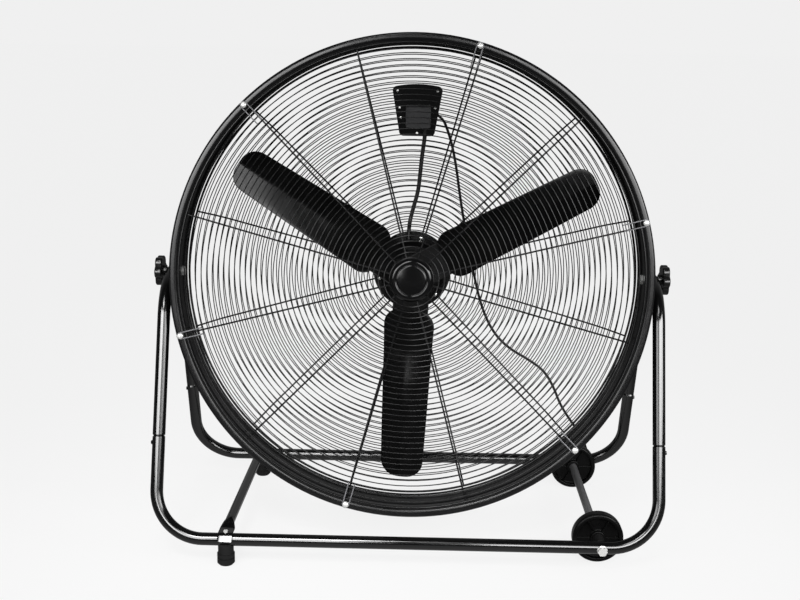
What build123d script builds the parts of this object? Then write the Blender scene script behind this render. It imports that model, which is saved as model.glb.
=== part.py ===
from build123d import *
from math import asin, atan2, cos, degrees, hypot, radians, sin, tan
import os

os.makedirs("parts", exist_ok=True)

# Large drum fan on a tube stand. Millimetres, +Z up, the fan blows towards -Y.
# The origin is on the floor, under the middle of the stand.

# ---------------------------------------------------------------- layout
drum_clearance = 60  # drum's lowest edge above the floor, with no tilt
rest_tilt = 6.9  # degrees that the stored fan looks up
rail_spacing = 500  # between the front and rear floor rails

# ---------------------------------------------------------------- stand tubes
tube_diameter = 26
tube_wall = 1.5
rail_height = 53  # rail centreline above the floor
floor_bend = 98  # centreline radius of the floor tubes' corners
arch_radius = 110  # centreline radius over the top of a hoop
joint_height = 250  # where a hoop plugs into the floor tubes
spigot_length = 45
socket_clearance = 5  # socket bore runs on past the spigot
slip_gap = 0.3  # between a spigot and its socket
joint_screw_drop = 14  # screw below the joint line
joint_screw_diameter = 6
joint_screw_length = 12
joint_head_diameter = 9
joint_head_height = 2.5
screw_gap = 0.2  # around a screw in its hole, per side
head_slope = 20  # degrees from the side of a domed screw head to its axis

# ---------------------------------------------------------------- brace and feet
brace_front_inset = 145.5  # brace end inboard of the hoops' centreline
brace_rear_inset = 156.5
brace_diameter = 20
brace_tab_width = 30
brace_tab_thickness = 3
brace_tab_length = 34
brace_taper_length = 30
brace_lift = 6  # brace's centreline above the rails
brace_screw_diameter = 6
brace_screw_bite = 14  # depth of the screw in the foot
brace_head_diameter = 9
brace_head_height = 3.5
foot_diameter = 36
foot_base_diameter = 29
foot_base_rise = 4  # height of the rounded base
foot_groove_height = 14
foot_groove_depth = 1.6
foot_groove_width = 2.4
foot_shoulder_height = 24  # where the foot steps in to its upper part
foot_top_diameter = 32
foot_saddle = 6  # how far the foot wraps up the tube
foot_gap = 0.2  # between the foot's saddle and the tube

# ---------------------------------------------------------------- wheels
axle_inset = 117.5  # axle inboard of the hoops' centreline
axle_diameter = 12
axle_fit = 0.08  # running clearance, per side
wheel_width = 26
front_wheel_setback = 56  # wheel centre inboard of its rail
rear_wheel_setback = 34
wheel_edge = 3
rim_thickness = 9
recess_depth = 8
wheel_boss_diameter = 30
wheel_rib_count = 6
wheel_rib_thickness = 3
wheel_rib_drop = 3  # ribs below the rim's side
spacer_diameter = 18
bush_diameter = 22
end_play = 0.3  # between a wheel and its neighbours along the axle
hex_size = 17
hex_height = 8
axle_washer_diameter = 20.5
axle_washer_thickness = 2

# ---------------------------------------------------------------- drum
flange_radius = 500
flange_step = 3.5  # flange and bead stand out from the wall
side_gap = 5  # between the drum's wall and a side hoop
sheet = 1.5
lip_width = 16.5  # front lip, in from the flange
lip_curl = 9
front_reach = 118  # front face ahead of the tilt axis
rear_reach = 31  # rear edge behind the tilt axis
flange_depth = 14
bead_reach = 33  # middle of the stiffening bead, ahead of the tilt axis
bead_width = 12
rear_lip_width = 7.5  # rear lip, in from the wall

# ---------------------------------------------------------------- grilles
wire = 3.2
spoke_wire = 4.6
rim_wire = 5
ring_sides = 36
ring_count = 8
spoke_count = 12
spoke_phase = 14.8
front_rim_gap = 3.5  # rim wire's middle inside the drum's front lip
front_inner_ring = 81  # radius of the smallest ring
grille_eye = 20  # where the spokes meet under the cap
rear_rim_gap = 3.5  # rim wire's middle inside the drum's rear lip
rear_knee_width = 47.5  # from the rim to the knee of the pan
rear_knee_reach = 78
rear_cone_reach = 150
plate_ring_gap = 1.5  # smallest ring inside the motor plate's rim
plate_overlap = 10  # rear spokes run in behind the motor plate's rim

# ---------------------------------------------------------------- clips
clip_count = 6
clip_inset = 8.5  # clip screw in from the flange
clip_wire = 2.6
clip_half_width = 5
clip_leg = 28.5  # legs run in from the screw
clip_head_diameter = 15
clip_head_height = 4.5
clip_screw_diameter = 5
clip_screw_length = 12

# ---------------------------------------------------------------- front cap
cap_radius = 45
cap_height = 12
cap_edge = 4
cap_ring_radius = 31
cap_groove = 2
cap_backing_radius = 36
cap_backing_thickness = 3
cap_screw_diameter = 6

# ---------------------------------------------------------------- motor
motor_plate_radius = 88
motor_plate_thickness = 3
motor_screw_count = 6
motor_screw_circle = 76
motor_screw_diameter = 6
motor_screw_head = 12
motor_screw_head_height = 4
motor_screw_bite = 10
motor_radius = 70
motor_foot_radius = 84
motor_foot_thickness = 8
motor_wall = 4
motor_length = 98
rear_bell_length = 48
motor_nose_radius = 32
motor_nose_length = 10
stator_inner_radius = 42
stator_length = 40
stator_slots = 12
air_gap = 0.6
core_length = 44
bearing_diameter = 35
bearing_width = 11
bearing_gap = 0.02
shaft_diameter = 15
shaft_fit = 0.05

# ---------------------------------------------------------------- blades
blade_count = 3
blade_phase = 28
blade_reach = 12  # blade plane ahead of the tilt axis
boss_radius = 26
boss_length = 44
spider_radius = 46
spider_thickness = 5
arm_width = 84
arm_corner = 21
arm_reach = 156
arm_thickness = 4
blade_thickness = 2
blade_root = 76
blade_flat_end = 165
tip_gap = 58.5  # from a blade's tip to the wall
blade_root_width = 124
blade_tip_width = 92
blade_span_steps = 4
blade_root_pitch = 27
blade_tip_pitch = 15
blade_ridge = 7  # height of the crease above the edges at mid span
blade_root_corner = 34
blade_tip_corner = 30
seat_gap = 0.05
rivet_diameter = 6
rivet_head = 11
rivet_head_height = 2
rivet_near = 98
rivet_far = 136
rivet_spread = 33
shaft_nut_size = 22
shaft_nut_height = 10

# ---------------------------------------------------------------- pivots and knobs
pivot_diameter = 10
pivot_fit = 0.08
pivot_head_size = 18
pivot_head_height = 6
pivot_washer_diameter = 30
knob_diameter = 66
knob_lobes = 6
knob_lobe_radius = 12
knob_thickness = 15
knob_collar_diameter = 24
knob_collar_length = 6
knob_wall = 4
run_gap = 0.3  # between faces that turn past each other

# ---------------------------------------------------------------- switch
switch_x = 5
switch_drop = 85  # middle of the plate, in from the knee of the pan
switch_top_width = 112
switch_bottom_width = 76
switch_height = 107
switch_top_rise = 7  # top edge bows up in the middle
switch_corner = 10
switch_plate_thickness = 2
plate_lift = 1.1  # clears the wires where they curve up beside the plate
terminal_width = 56
terminal_height = 47
terminal_depth = 22
terminal_drop = 9.5
terminal_shift = 2.5
mould_draft = 3  # degrees
housing_width = 52
housing_height = 70
housing_depth = 42
housing_edge = 5
housing_draft = 2  # degrees
switch_screw_diameter = 4
corner_screw_x = 44
corner_screw_y = 46
side_screw_x = 39
side_screw_y = 9
low_screw_x = -36
low_screw_y = -13
bottom_screw_y = -47
switch_head_diameter = 9
switch_head_height = 2.5
clamp_washer_diameter = 12
clamp_washer_thickness = 2
speed_knob_diameter = 34
speed_knob_height = 16
speed_knob_grip = 8
speed_knob_grip_lift = 4  # grip's middle above the knob's middle
speed_knob_draft = 4  # degrees
speed_shaft_diameter = 8
speed_shaft_length = 12
gland_length = 20
gland_seat = 15
gland_tip = 8.4
gland_lift = 0  # gland above the housing's middle
gland_droop = 30  # degrees that the gland points below level
gland_run = 16  # cord runs straight out of the gland

# ---------------------------------------------------------------- lead and cord
lead_diameter = 9
lead_sides = 8
grommet_wall = 2
grommet_length = 5
lead_lift = 10  # lead's centre ahead of the rear wires' middle
lead_x = 18  # across the terminal box
bend_share = 0.45  # part of the shorter run that a bend may use
cord_diameter = 6
cord_sides = 6
coil_shift = 10  # coil's middle outboard of the axle
coil_y = 338
coil_reach = 42  # first turn's reach from the coil's middle
coil_pitch = 6.7
coil_turns_in = 4  # half turns on the floor
coil_turns_out = 3  # half turns of the upper layer
climb_pitches = 1.5  # coil pitches that the first upper half turn moves out
cord_landing = 10  # straight run on the floor before the coil
coil_tail = 28  # straight run from the last turn to the plug
plug_width = 34
plug_corner = 6
plug_length = 36
plug_neck_length = 16
plug_neck_diameter = 9
plug_neck_flare = 1.5  # times its width where the neck meets the plug
pin_diameter = 4.8
pin_length = 19
pin_spacing = 19

# ================================================================ shared frames
pivot_height = flange_radius + drum_clearance
wall_radius = flange_radius - flange_step
lip_radius = flange_radius - lip_width
rear_lip_radius = wall_radius - rear_lip_width
clip_radius = flange_radius - clip_inset
blade_tip = wall_radius - tip_gap
tilt = radians(rest_tilt)
across = Vector(1, 0, 0)
ahead = Vector(0, -cos(tilt), sin(tilt))
upward = Vector(0, sin(tilt), cos(tilt))
pivot = Vector(0, 0, pivot_height)
fan_axis = Axis(pivot, ahead)

side_x = wall_radius + side_gap + tube_diameter / 2
side_spacing = 2 * side_x
axle_x = side_x - axle_inset
ring_steps = ring_count - 1
front_rim_radius = lip_radius - front_rim_gap
front_ring_pitch = (front_rim_radius - front_inner_ring) / ring_steps
rear_rim_radius = rear_lip_radius - rear_rim_gap
rear_knee_radius = rear_rim_radius - rear_knee_width
rear_ring_pitch = (rear_rim_radius - motor_plate_radius + plate_ring_gap) / ring_steps
switch_radius = rear_knee_radius - switch_drop
tube_radius = tube_diameter / 2
tube_bore = tube_radius - tube_wall
half_rails = rail_spacing / 2

# Lean of the straight legs: the line from a rail that touches the hoop's arch.
arch_height = pivot_height - arch_radius
leg_reach = hypot(half_rails, arch_height - rail_height)
leg_lean = atan2(half_rails, arch_height - rail_height) - asin(arch_radius / leg_reach)
leg_rise = (joint_height - rail_height) / cos(leg_lean)
joint_y = half_rails - (joint_height - rail_height) * tan(leg_lean)


def fan_plane(reach, turn=0):
    """Plane square to the fan axis, reach ahead of the pivot, turned about the axis."""
    flat = Plane(origin=pivot + ahead * reach, x_dir=across, z_dir=ahead)
    return Plane(flat.location * Location((0, 0, 0), (0, 0, turn)))


def fan_section(turn=0):
    """Plane through the fan axis: local x is the radius and local y points ahead."""
    return Plane(fan_plane(0, turn).location * Location((0, 0, 0), (90, 0, 0)))


def fan_point(x, up, reach):
    """Point given across, up and ahead in the fan's own directions."""
    return pivot + across * x + upward * up + ahead * reach


def save(piece, name):
    """Label a finished piece and write it."""
    piece.part.label = name
    export_step(piece.part, f"parts/{name}.step")


# ================================================================ stand
front_floor_plane = Plane(
    origin=(0, -half_rails, rail_height),
    x_dir=(1, 0, 0),
    z_dir=(0, -cos(leg_lean), sin(leg_lean)),
)
axle_hole = axle_diameter / 2 + screw_gap
joint_hole = joint_screw_diameter / 2 + screw_gap
brace_hole = brace_screw_diameter / 2 + screw_gap
brace_front_x = brace_front_inset - side_x
brace_rear_x = brace_rear_inset - side_x
brace_x = {-1: brace_front_x, 1: brace_rear_x}


def joint_plane(side, end, drop=0):
    """Plane across a leg at its joint, facing down the leg; side and end are -1 or 1."""
    down = Vector(0, end * sin(leg_lean), -cos(leg_lean))
    return Plane(Vector(side * side_x, end * joint_y, joint_height) + down * drop, (1, 0, 0), down)


def joint_screw_plane(side, end):
    """Plane on the leg's middle where a joint screw crosses it, facing outwards."""
    return Plane(joint_plane(side, end, joint_screw_drop).origin, (0, 1, 0), (side, 0, 0))


def floor_tube(end):
    """Bent floor tube: rail, two corners and two short legs; end is -1 front, 1 rear."""
    with BuildPart() as tube:
        with BuildLine(front_floor_plane):
            FilletPolyline(
                (-side_x, leg_rise),
                (-side_x, 0),
                (side_x, 0),
                (side_x, leg_rise),
                radius=floor_bend,
            )
        with BuildSketch(joint_plane(-1, -1)):
            Circle(tube_radius)
        sweep()
        for side in (-1, 1):
            with BuildSketch(joint_plane(side, -1)):
                Circle(tube_bore)
            extrude(amount=spigot_length + socket_clearance, mode=Mode.SUBTRACT)
            with BuildSketch(joint_screw_plane(side, -1)):
                Circle(joint_hole)
            extrude(amount=tube_diameter, mode=Mode.SUBTRACT)
        with BuildSketch(Plane((axle_x, 0, rail_height), (1, 0, 0), (0, -1, 0))):
            Circle(axle_hole)
        extrude(amount=rail_spacing, mode=Mode.SUBTRACT)
        with BuildSketch(Plane((brace_x[end], -half_rails, 0))):
            Circle(brace_hole)
        extrude(amount=joint_height, mode=Mode.SUBTRACT)
        if end > 0:
            mirror(tube.part, about=Plane.XZ, mode=Mode.REPLACE)
    return tube


front_floor_tube = floor_tube(-1)
save(front_floor_tube, "front_floor_tube")
rear_floor_tube = floor_tube(1)
save(rear_floor_tube, "rear_floor_tube")

pivot_hole = pivot_diameter / 2 + pivot_fit
spigot_radius = tube_bore - slip_gap

for side, hoop_name in ((-1, "left_side_hoop"), (1, "right_side_hoop")):
    with BuildPart() as side_hoop:
        with BuildLine(Plane((side * side_x, 0, 0), (0, 1, 0), (1, 0, 0))) as hoop_path:
            arch = CenterArc(
                (0, arch_height),
                arch_radius,
                180 - degrees(leg_lean),
                2 * degrees(leg_lean) - 180,
            )
            Line((-joint_y, joint_height), arch @ 0)
            Line(arch @ 1, (joint_y, joint_height))
        with BuildSketch(joint_plane(side, -1)):
            Circle(tube_radius)
        sweep()
        for end in (-1, 1):
            with BuildSketch(joint_plane(side, end)):
                Circle(spigot_radius)
            extrude(amount=spigot_length)
            with BuildSketch(joint_screw_plane(side, end)):
                Circle(joint_hole)
            extrude(amount=tube_diameter, mode=Mode.SUBTRACT)
            with BuildSketch(joint_plane(side, end, -spigot_length)):
                Circle(spigot_radius - tube_wall)
            extrude(amount=2 * spigot_length, mode=Mode.SUBTRACT)
        with BuildSketch(Plane((0, 0, pivot_height), (0, 1, 0), (side, 0, 0))):
            Circle(pivot_hole)
        extrude(amount=side_spacing, mode=Mode.SUBTRACT)
    save(side_hoop, hoop_name)

with BuildPart() as joint_screws:
    for side in (-1, 1):
        for end in (-1, 1):
            screw_plane = joint_screw_plane(side, end)
            with BuildSketch(screw_plane.offset(tube_radius)):
                Circle(joint_head_diameter / 2)
            extrude(amount=joint_head_height, taper=head_slope)
            with BuildSketch(screw_plane.offset(tube_radius)):
                Circle(joint_screw_diameter / 2)
            extrude(amount=-joint_screw_length)
save(joint_screws, "joint_screws")

# ---------------------------------------------------------------- cross brace
rail_top = rail_height + tube_radius
brace_run = Vector(brace_rear_x - brace_front_x, rail_spacing, 0)
brace_middle = Vector((brace_front_x + brace_rear_x) / 2, 0, rail_top)
brace_straight = brace_run.length / 2 - brace_tab_length / 2 - brace_taper_length


def brace_plane(reach, end):
    """Plane across the brace, reach from its middle towards one end, local y up."""
    along = brace_run.normalized() * end
    return Plane(brace_middle + along * reach, Vector(0, 0, 1).cross(along), along)


with BuildPart() as cross_brace:
    for end in (-1, 1):
        with BuildSketch(brace_plane(0, end)):
            with Locations((0, brace_lift)):
                Circle(brace_diameter / 2)
        extrude(amount=brace_straight)
        with BuildSketch(brace_plane(brace_straight, end)):
            with Locations((0, brace_lift)):
                Circle(brace_diameter / 2)
        with BuildSketch(brace_plane(brace_straight + brace_taper_length, end)):
            with Locations((0, brace_tab_thickness / 2)):
                Rectangle(brace_tab_width, brace_tab_thickness)
        loft()
        with BuildSketch(brace_plane(brace_straight + brace_taper_length, end)):
            with Locations((0, brace_tab_thickness / 2)):
                Rectangle(brace_tab_width, brace_tab_thickness)
        extrude(amount=brace_tab_length)
        with BuildSketch(Plane((brace_x[end], end * half_rails, rail_top))):
            Circle(brace_hole)
        extrude(amount=brace_diameter, both=True, mode=Mode.SUBTRACT)
save(cross_brace, "cross_brace")

tab_top = rail_top + brace_tab_thickness
foot_top = rail_height - tube_radius
foot_radius = foot_diameter / 2

with BuildPart() as brace_screws:
    for end in (-1, 1):
        with BuildSketch(Plane((brace_x[end], end * half_rails, tab_top))):
            Circle(brace_head_diameter / 2)
        extrude(amount=brace_head_height)
        with BuildSketch(Plane((brace_x[end], end * half_rails, foot_top - brace_screw_bite))):
            Circle(brace_screw_diameter / 2)
        extrude(until=Until.NEXT)
save(brace_screws, "brace_screws")

for end, foot_name in ((-1, "front_foot"), (1, "rear_foot")):
    foot_spot = Vector(brace_x[end], end * half_rails, 0)
    with BuildPart() as foot:
        with BuildSketch(Plane(foot_spot, (1, 0, 0), (0, -1, 0))):
            with BuildLine():
                Polyline(
                    (0, 0),
                    (foot_base_diameter / 2, 0),
                    (foot_radius, foot_base_rise),
                    (foot_radius, foot_groove_height),
                    (foot_radius - foot_groove_depth, foot_groove_height),
                    (foot_radius - foot_groove_depth, foot_groove_height + foot_groove_width),
                    (foot_radius, foot_groove_height + foot_groove_width),
                    (foot_radius, foot_shoulder_height),
                    (foot_top_diameter / 2, foot_shoulder_height),
                    (foot_top_diameter / 2, foot_top + foot_saddle),
                    (0, foot_top + foot_saddle),
                    close=True,
                )
            make_face()
        revolve(axis=Axis(foot_spot, (0, 0, 1)))
        with BuildSketch(Plane((0, end * half_rails, rail_height), (0, 1, 0), (1, 0, 0))):
            Circle(tube_radius + foot_gap)
        extrude(amount=side_spacing, both=True, mode=Mode.SUBTRACT)
        with BuildSketch(Plane(foot_spot).offset(foot_top - brace_screw_bite)):
            Circle(brace_hole)
        extrude(amount=brace_screw_bite + foot_saddle, mode=Mode.SUBTRACT)
    save(foot, foot_name)

# ---------------------------------------------------------------- wheels
wheel_radius = rail_height
wheel_y = {-1: half_rails - front_wheel_setback, 1: half_rails - rear_wheel_setback}
wheel_half = wheel_width / 2
web_half = wheel_half - recess_depth
wheel_boss = wheel_boss_diameter / 2
wheel_bore = axle_diameter / 2 + axle_fit
rim_inner = wheel_radius - rim_thickness
rail_back = half_rails + tube_radius

for end, wheel_name in ((-1, "front_wheel"), (1, "rear_wheel")):
    wheel_plane = Plane((axle_x, end * wheel_y[end], rail_height), (1, 0, 0), (0, end, 0))
    with BuildPart() as wheel:
        with BuildSketch(Plane(wheel_plane.location * Location((0, 0, 0), (90, 0, 0)))):
            with BuildLine():
                Polyline(
                    (wheel_bore, 0),
                    (wheel_bore, wheel_half),
                    (wheel_boss, wheel_half),
                    (wheel_boss, web_half),
                    (rim_inner, web_half),
                    (rim_inner, wheel_half),
                    (wheel_radius - wheel_edge, wheel_half),
                    (wheel_radius, wheel_half - wheel_edge),
                    (wheel_radius, 0),
                    close=True,
                )
            make_face()
            mirror(about=Plane.XZ)
        revolve(axis=Axis(wheel_plane.origin, wheel_plane.z_dir))
        with BuildSketch(wheel_plane):
            with PolarLocations((wheel_boss + rim_inner) / 2, wheel_rib_count):
                Rectangle(rim_inner - wheel_boss + wheel_edge, wheel_rib_thickness)
        extrude(amount=wheel_half - wheel_rib_drop, both=True)
    save(wheel, wheel_name)

axle_front = Plane((axle_x, -rail_back, rail_height), (1, 0, 0), (0, -1, 0))
axle_rear = Plane((axle_x, rail_back, rail_height), (1, 0, 0), (0, 1, 0))
axle_middle = Plane((axle_x, 0, rail_height), (1, 0, 0), (0, 1, 0))

with BuildPart() as axle_bolt:
    with BuildSketch(axle_middle):
        Circle(axle_diameter / 2)
    extrude(amount=rail_back + axle_washer_thickness + hex_height, both=True)
    with BuildSketch(axle_front.offset(axle_washer_thickness)):
        RegularPolygon(hex_size / 2, 6, major_radius=False)
    extrude(amount=hex_height)
save(axle_bolt, "axle_bolt")

with BuildPart() as axle_nut:
    with BuildSketch(axle_rear.offset(axle_washer_thickness)):
        RegularPolygon(hex_size / 2, 6, major_radius=False)
        Circle(axle_diameter / 2 + seat_gap, mode=Mode.SUBTRACT)
    extrude(amount=hex_height)
save(axle_nut, "axle_nut")

with BuildPart() as axle_washers:
    for washer_plane in (axle_front, axle_rear):
        with BuildSketch(washer_plane):
            Circle(axle_washer_diameter / 2)
            Circle(axle_hole, mode=Mode.SUBTRACT)
        extrude(amount=axle_washer_thickness)
save(axle_washers, "axle_washers")

with BuildPart() as axle_bushes:
    for end in (-1, 1):
        rail_face = (axle_x, end * (half_rails - tube_radius), rail_height)
        with BuildSketch(Plane(rail_face, (1, 0, 0), (0, -end, 0))):
            Circle(bush_diameter / 2)
            Circle(axle_hole, mode=Mode.SUBTRACT)
        extrude(amount=half_rails - tube_radius - wheel_y[end] - wheel_half - end_play)
save(axle_bushes, "axle_bushes")

with BuildPart() as axle_spacer:
    with BuildSketch(axle_middle.offset(wheel_y[1] - wheel_half - end_play)):
        Circle(spacer_diameter / 2)
        Circle(axle_hole, mode=Mode.SUBTRACT)
    extrude(amount=2 * (wheel_half + end_play) - wheel_y[-1] - wheel_y[1])
save(axle_spacer, "axle_spacer_tube")

# ================================================================ drum
flange_back = front_reach - flange_depth

with BuildPart() as drum_shell:
    with BuildSketch(fan_section()):
        with BuildLine():
            Polyline(
                (lip_radius, front_reach - lip_curl),
                (lip_radius, front_reach),
                (flange_radius, front_reach),
                (flange_radius, flange_back),
                (wall_radius, flange_back - flange_step),
                (wall_radius, bead_reach + bead_width / 2),
                (flange_radius, bead_reach),
                (wall_radius, bead_reach - bead_width / 2),
                (wall_radius, -rear_reach),
                (rear_lip_radius, -rear_reach),
            )
            offset(amount=sheet, side=Side.RIGHT)
        make_face()
    revolve(axis=fan_axis)
    with BuildSketch(Plane((0, 0, pivot_height), (0, 1, 0), (1, 0, 0))):
        Circle(pivot_diameter / 2 + screw_gap)
    extrude(amount=side_spacing, both=True, mode=Mode.SUBTRACT)
    with BuildSketch(fan_plane(front_reach, spoke_phase)):
        with PolarLocations(clip_radius, clip_count):
            Circle(clip_screw_diameter / 2 + screw_gap)
    extrude(amount=-2 * sheet, mode=Mode.SUBTRACT)
save(drum_shell, "drum_shell")

# ---------------------------------------------------------------- front grille
front_wire_middle = front_reach - rim_wire / 2

with BuildPart() as front_grille:
    with BuildSketch(fan_plane(front_wire_middle, spoke_phase)):
        for ring in range(ring_count):
            ring_radius = front_rim_radius - ring * front_ring_pitch
            RegularPolygon(ring_radius + wire / 2, ring_sides)
            RegularPolygon(ring_radius - wire / 2, ring_sides, mode=Mode.SUBTRACT)
        spoke_length = front_rim_radius - grille_eye
        with PolarLocations(grille_eye + spoke_length / 2, spoke_count):
            Rectangle(spoke_length, spoke_wire)
        Circle(grille_eye + spoke_wire)
        Circle(cap_screw_diameter / 2 + screw_gap, mode=Mode.SUBTRACT)
    extrude(amount=wire / 2, both=True)
    with BuildSketch(fan_plane(front_wire_middle, spoke_phase)):
        RegularPolygon(front_rim_radius + rim_wire / 2, ring_sides)
        RegularPolygon(front_rim_radius - rim_wire / 2, ring_sides, mode=Mode.SUBTRACT)
    extrude(amount=rim_wire / 2, both=True)
save(front_grille, "front_grille")

clip_middle = clip_radius - clip_leg / 2

with BuildPart() as clip_wires:
    for turn in range(clip_count):
        with BuildSketch(fan_plane(front_reach, spoke_phase + turn * 360 / clip_count)):
            with Locations((clip_radius, 0)):
                Circle(clip_half_width + clip_wire / 2)
            with Locations((clip_middle, 0)):
                Rectangle(clip_leg, 2 * clip_half_width + clip_wire)
            with Locations((clip_radius, 0)):
                Circle(clip_half_width - clip_wire / 2, mode=Mode.SUBTRACT)
            with Locations((clip_middle, 0)):
                Rectangle(clip_leg, 2 * clip_half_width - clip_wire, mode=Mode.SUBTRACT)
        extrude(amount=clip_wire)
save(clip_wires, "clip_wires")

with BuildPart() as clip_screws:
    with BuildSketch(fan_plane(front_reach + clip_wire, spoke_phase)):
        with PolarLocations(clip_radius, clip_count):
            Circle(clip_head_diameter / 2)
    extrude(amount=clip_head_height, taper=head_slope)
    with BuildSketch(fan_plane(front_reach + clip_wire, spoke_phase)):
        with PolarLocations(clip_radius, clip_count):
            Circle(clip_screw_diameter / 2)
    extrude(amount=-clip_screw_length)
save(clip_screws, "clip_screws")

cap_seat = front_wire_middle + wire / 2
with BuildPart() as front_cap:
    with BuildSketch(fan_section()):
        with BuildLine():
            Polyline(
                (0, cap_seat),
                (cap_radius, cap_seat),
                (cap_radius, cap_seat + cap_height - cap_edge),
                (cap_radius - cap_edge, cap_seat + cap_height),
                (cap_ring_radius + cap_groove, cap_seat + cap_height),
                (cap_ring_radius, cap_seat + cap_height - cap_groove),
                (cap_ring_radius - cap_groove, cap_seat + cap_height),
                (0, cap_seat + cap_height),
                close=True,
            )
        make_face()
    revolve(axis=fan_axis)
    with BuildSketch(fan_plane(cap_seat)):
        Circle(cap_screw_diameter / 2 + seat_gap)
    extrude(amount=cap_height - 2 * cap_groove, mode=Mode.SUBTRACT)
save(front_cap, "front_cap")

cap_backing_seat = front_wire_middle - wire / 2
with BuildPart() as cap_backing:
    with BuildSketch(fan_plane(cap_backing_seat)):
        Circle(cap_backing_radius)
        Circle(cap_screw_diameter / 2 + screw_gap, mode=Mode.SUBTRACT)
    extrude(amount=-cap_backing_thickness)
save(cap_backing, "cap_backing_plate")

with BuildPart() as cap_screw:
    with BuildSketch(fan_plane(cap_backing_seat - cap_backing_thickness)):
        Circle(clip_head_diameter / 2)
    extrude(amount=-clip_head_height)
    with BuildSketch(fan_plane(cap_backing_seat - cap_backing_thickness)):
        Circle(cap_screw_diameter / 2)
    extrude(amount=cap_backing_thickness + wire + cap_height / 2)
save(cap_screw, "cap_screw")

# ---------------------------------------------------------------- rear grille
# The pan's wires run straight from the drum's rear lip to a knee, then along a shallow cone
# to the motor plate. Each radius has one reach, which every ring and mount reads.
cone_foot = motor_plate_radius + spoke_wire
cone_slope = (rear_cone_reach - rear_knee_reach) / (rear_knee_radius - cone_foot)
cone_angle = degrees(atan2(cone_slope, 1))


def pan_reach(radius):
    """Reach behind the tilt axis of the rear grille's wires at a radius."""
    if radius > rear_knee_radius:
        share = (rear_rim_radius - radius) / (rear_rim_radius - rear_knee_radius)
        return rear_reach + share * (rear_knee_reach - rear_reach)
    return rear_knee_reach + (rear_knee_radius - radius) * cone_slope


with BuildPart() as rear_grille:
    for turn in range(spoke_count):
        with BuildSketch(fan_section(spoke_phase + turn * 360 / spoke_count)):
            with BuildLine():
                Polyline(
                    (rear_rim_radius, -rear_reach - rim_wire / 2),
                    (rear_knee_radius, -rear_knee_reach),
                    (cone_foot, -rear_cone_reach),
                    (motor_plate_radius - plate_overlap, -rear_cone_reach),
                )
            trace(line_width=spoke_wire)
        extrude(amount=spoke_wire / 2, both=True)
    for ring in range(ring_steps):
        ring_radius = rear_rim_radius - (ring + 1) * rear_ring_pitch
        with BuildSketch(fan_plane(-pan_reach(ring_radius), spoke_phase)):
            RegularPolygon(ring_radius + wire / 2, ring_sides)
            RegularPolygon(ring_radius - wire / 2, ring_sides, mode=Mode.SUBTRACT)
        extrude(amount=wire / 2, both=True)
    with BuildSketch(fan_plane(-rear_reach, spoke_phase)):
        RegularPolygon(rear_rim_radius + rim_wire / 2, ring_sides)
        RegularPolygon(rear_rim_radius - rim_wire / 2, ring_sides, mode=Mode.SUBTRACT)
    extrude(amount=-rim_wire)
save(rear_grille, "rear_grille")

# ---------------------------------------------------------------- motor
plate_front = -rear_cone_reach + spoke_wire / 2 + motor_plate_thickness
foot_front = plate_front + motor_foot_thickness
motor_front = plate_front + motor_length
bell_split = plate_front + rear_bell_length
bore_radius = motor_radius - motor_wall
bearing_radius = bearing_diameter / 2
shaft_radius = shaft_diameter / 2
shaft_tip = blade_reach + boss_length / 2 + shaft_nut_height
nose_front = motor_front + motor_nose_length

with BuildPart() as motor_plate:
    with BuildSketch(fan_plane(plate_front, spoke_phase)):
        Circle(motor_plate_radius)
        with PolarLocations(motor_screw_circle, motor_screw_count):
            Circle(motor_screw_diameter / 2 + screw_gap, mode=Mode.SUBTRACT)
    extrude(amount=-motor_plate_thickness)
save(motor_plate, "motor_plate")

with BuildPart() as motor_screws:
    with BuildSketch(fan_plane(foot_front, spoke_phase)):
        with PolarLocations(motor_screw_circle, motor_screw_count):
            Circle(motor_screw_head / 2)
    extrude(amount=motor_screw_head_height, taper=head_slope)
    with BuildSketch(fan_plane(foot_front, spoke_phase)):
        with PolarLocations(motor_screw_circle, motor_screw_count):
            Circle(motor_screw_diameter / 2)
    extrude(amount=-motor_foot_thickness - motor_plate_thickness)
save(motor_screws, "motor_screws")

with BuildPart() as motor_rear_bell:
    with BuildSketch(fan_section()):
        with BuildLine():
            Polyline(
                (0, plate_front),
                (motor_foot_radius, plate_front),
                (motor_foot_radius, foot_front),
                (motor_radius, foot_front),
                (motor_radius, bell_split),
                (bore_radius, bell_split),
                (bore_radius, foot_front + motor_wall),
                (bearing_radius + motor_wall, foot_front + motor_wall),
                (bearing_radius + motor_wall, foot_front + bearing_width),
                (bearing_radius + bearing_gap, foot_front + bearing_width),
                (bearing_radius + bearing_gap, foot_front),
                (0, foot_front),
                close=True,
            )
        make_face()
    revolve(axis=fan_axis)
    with BuildSketch(fan_plane(plate_front, spoke_phase)):
        with PolarLocations(motor_screw_circle, motor_screw_count):
            Circle(motor_screw_diameter / 2 + screw_gap)
    extrude(amount=motor_foot_thickness, mode=Mode.SUBTRACT)
save(motor_rear_bell, "motor_rear_bell")

with BuildPart() as motor_front_bell:
    with BuildSketch(fan_section()):
        with BuildLine():
            Polyline(
                (motor_radius, bell_split),
                (motor_radius, motor_front - motor_nose_length),
                (motor_radius - motor_nose_length, motor_front),
                (motor_nose_radius, motor_front),
                (bearing_radius + motor_wall, nose_front),
                (shaft_radius + run_gap, nose_front),
                (shaft_radius + run_gap, motor_front),
                (bearing_radius + bearing_gap, motor_front),
                (bearing_radius + bearing_gap, motor_front - bearing_width),
                (bearing_radius + motor_wall, motor_front - bearing_width),
                (bearing_radius + motor_wall, motor_front - motor_nose_length),
                (bore_radius, motor_front - motor_nose_length),
                (bore_radius, bell_split),
                close=True,
            )
        make_face()
    revolve(axis=fan_axis)
save(motor_front_bell, "motor_front_bell")

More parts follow.
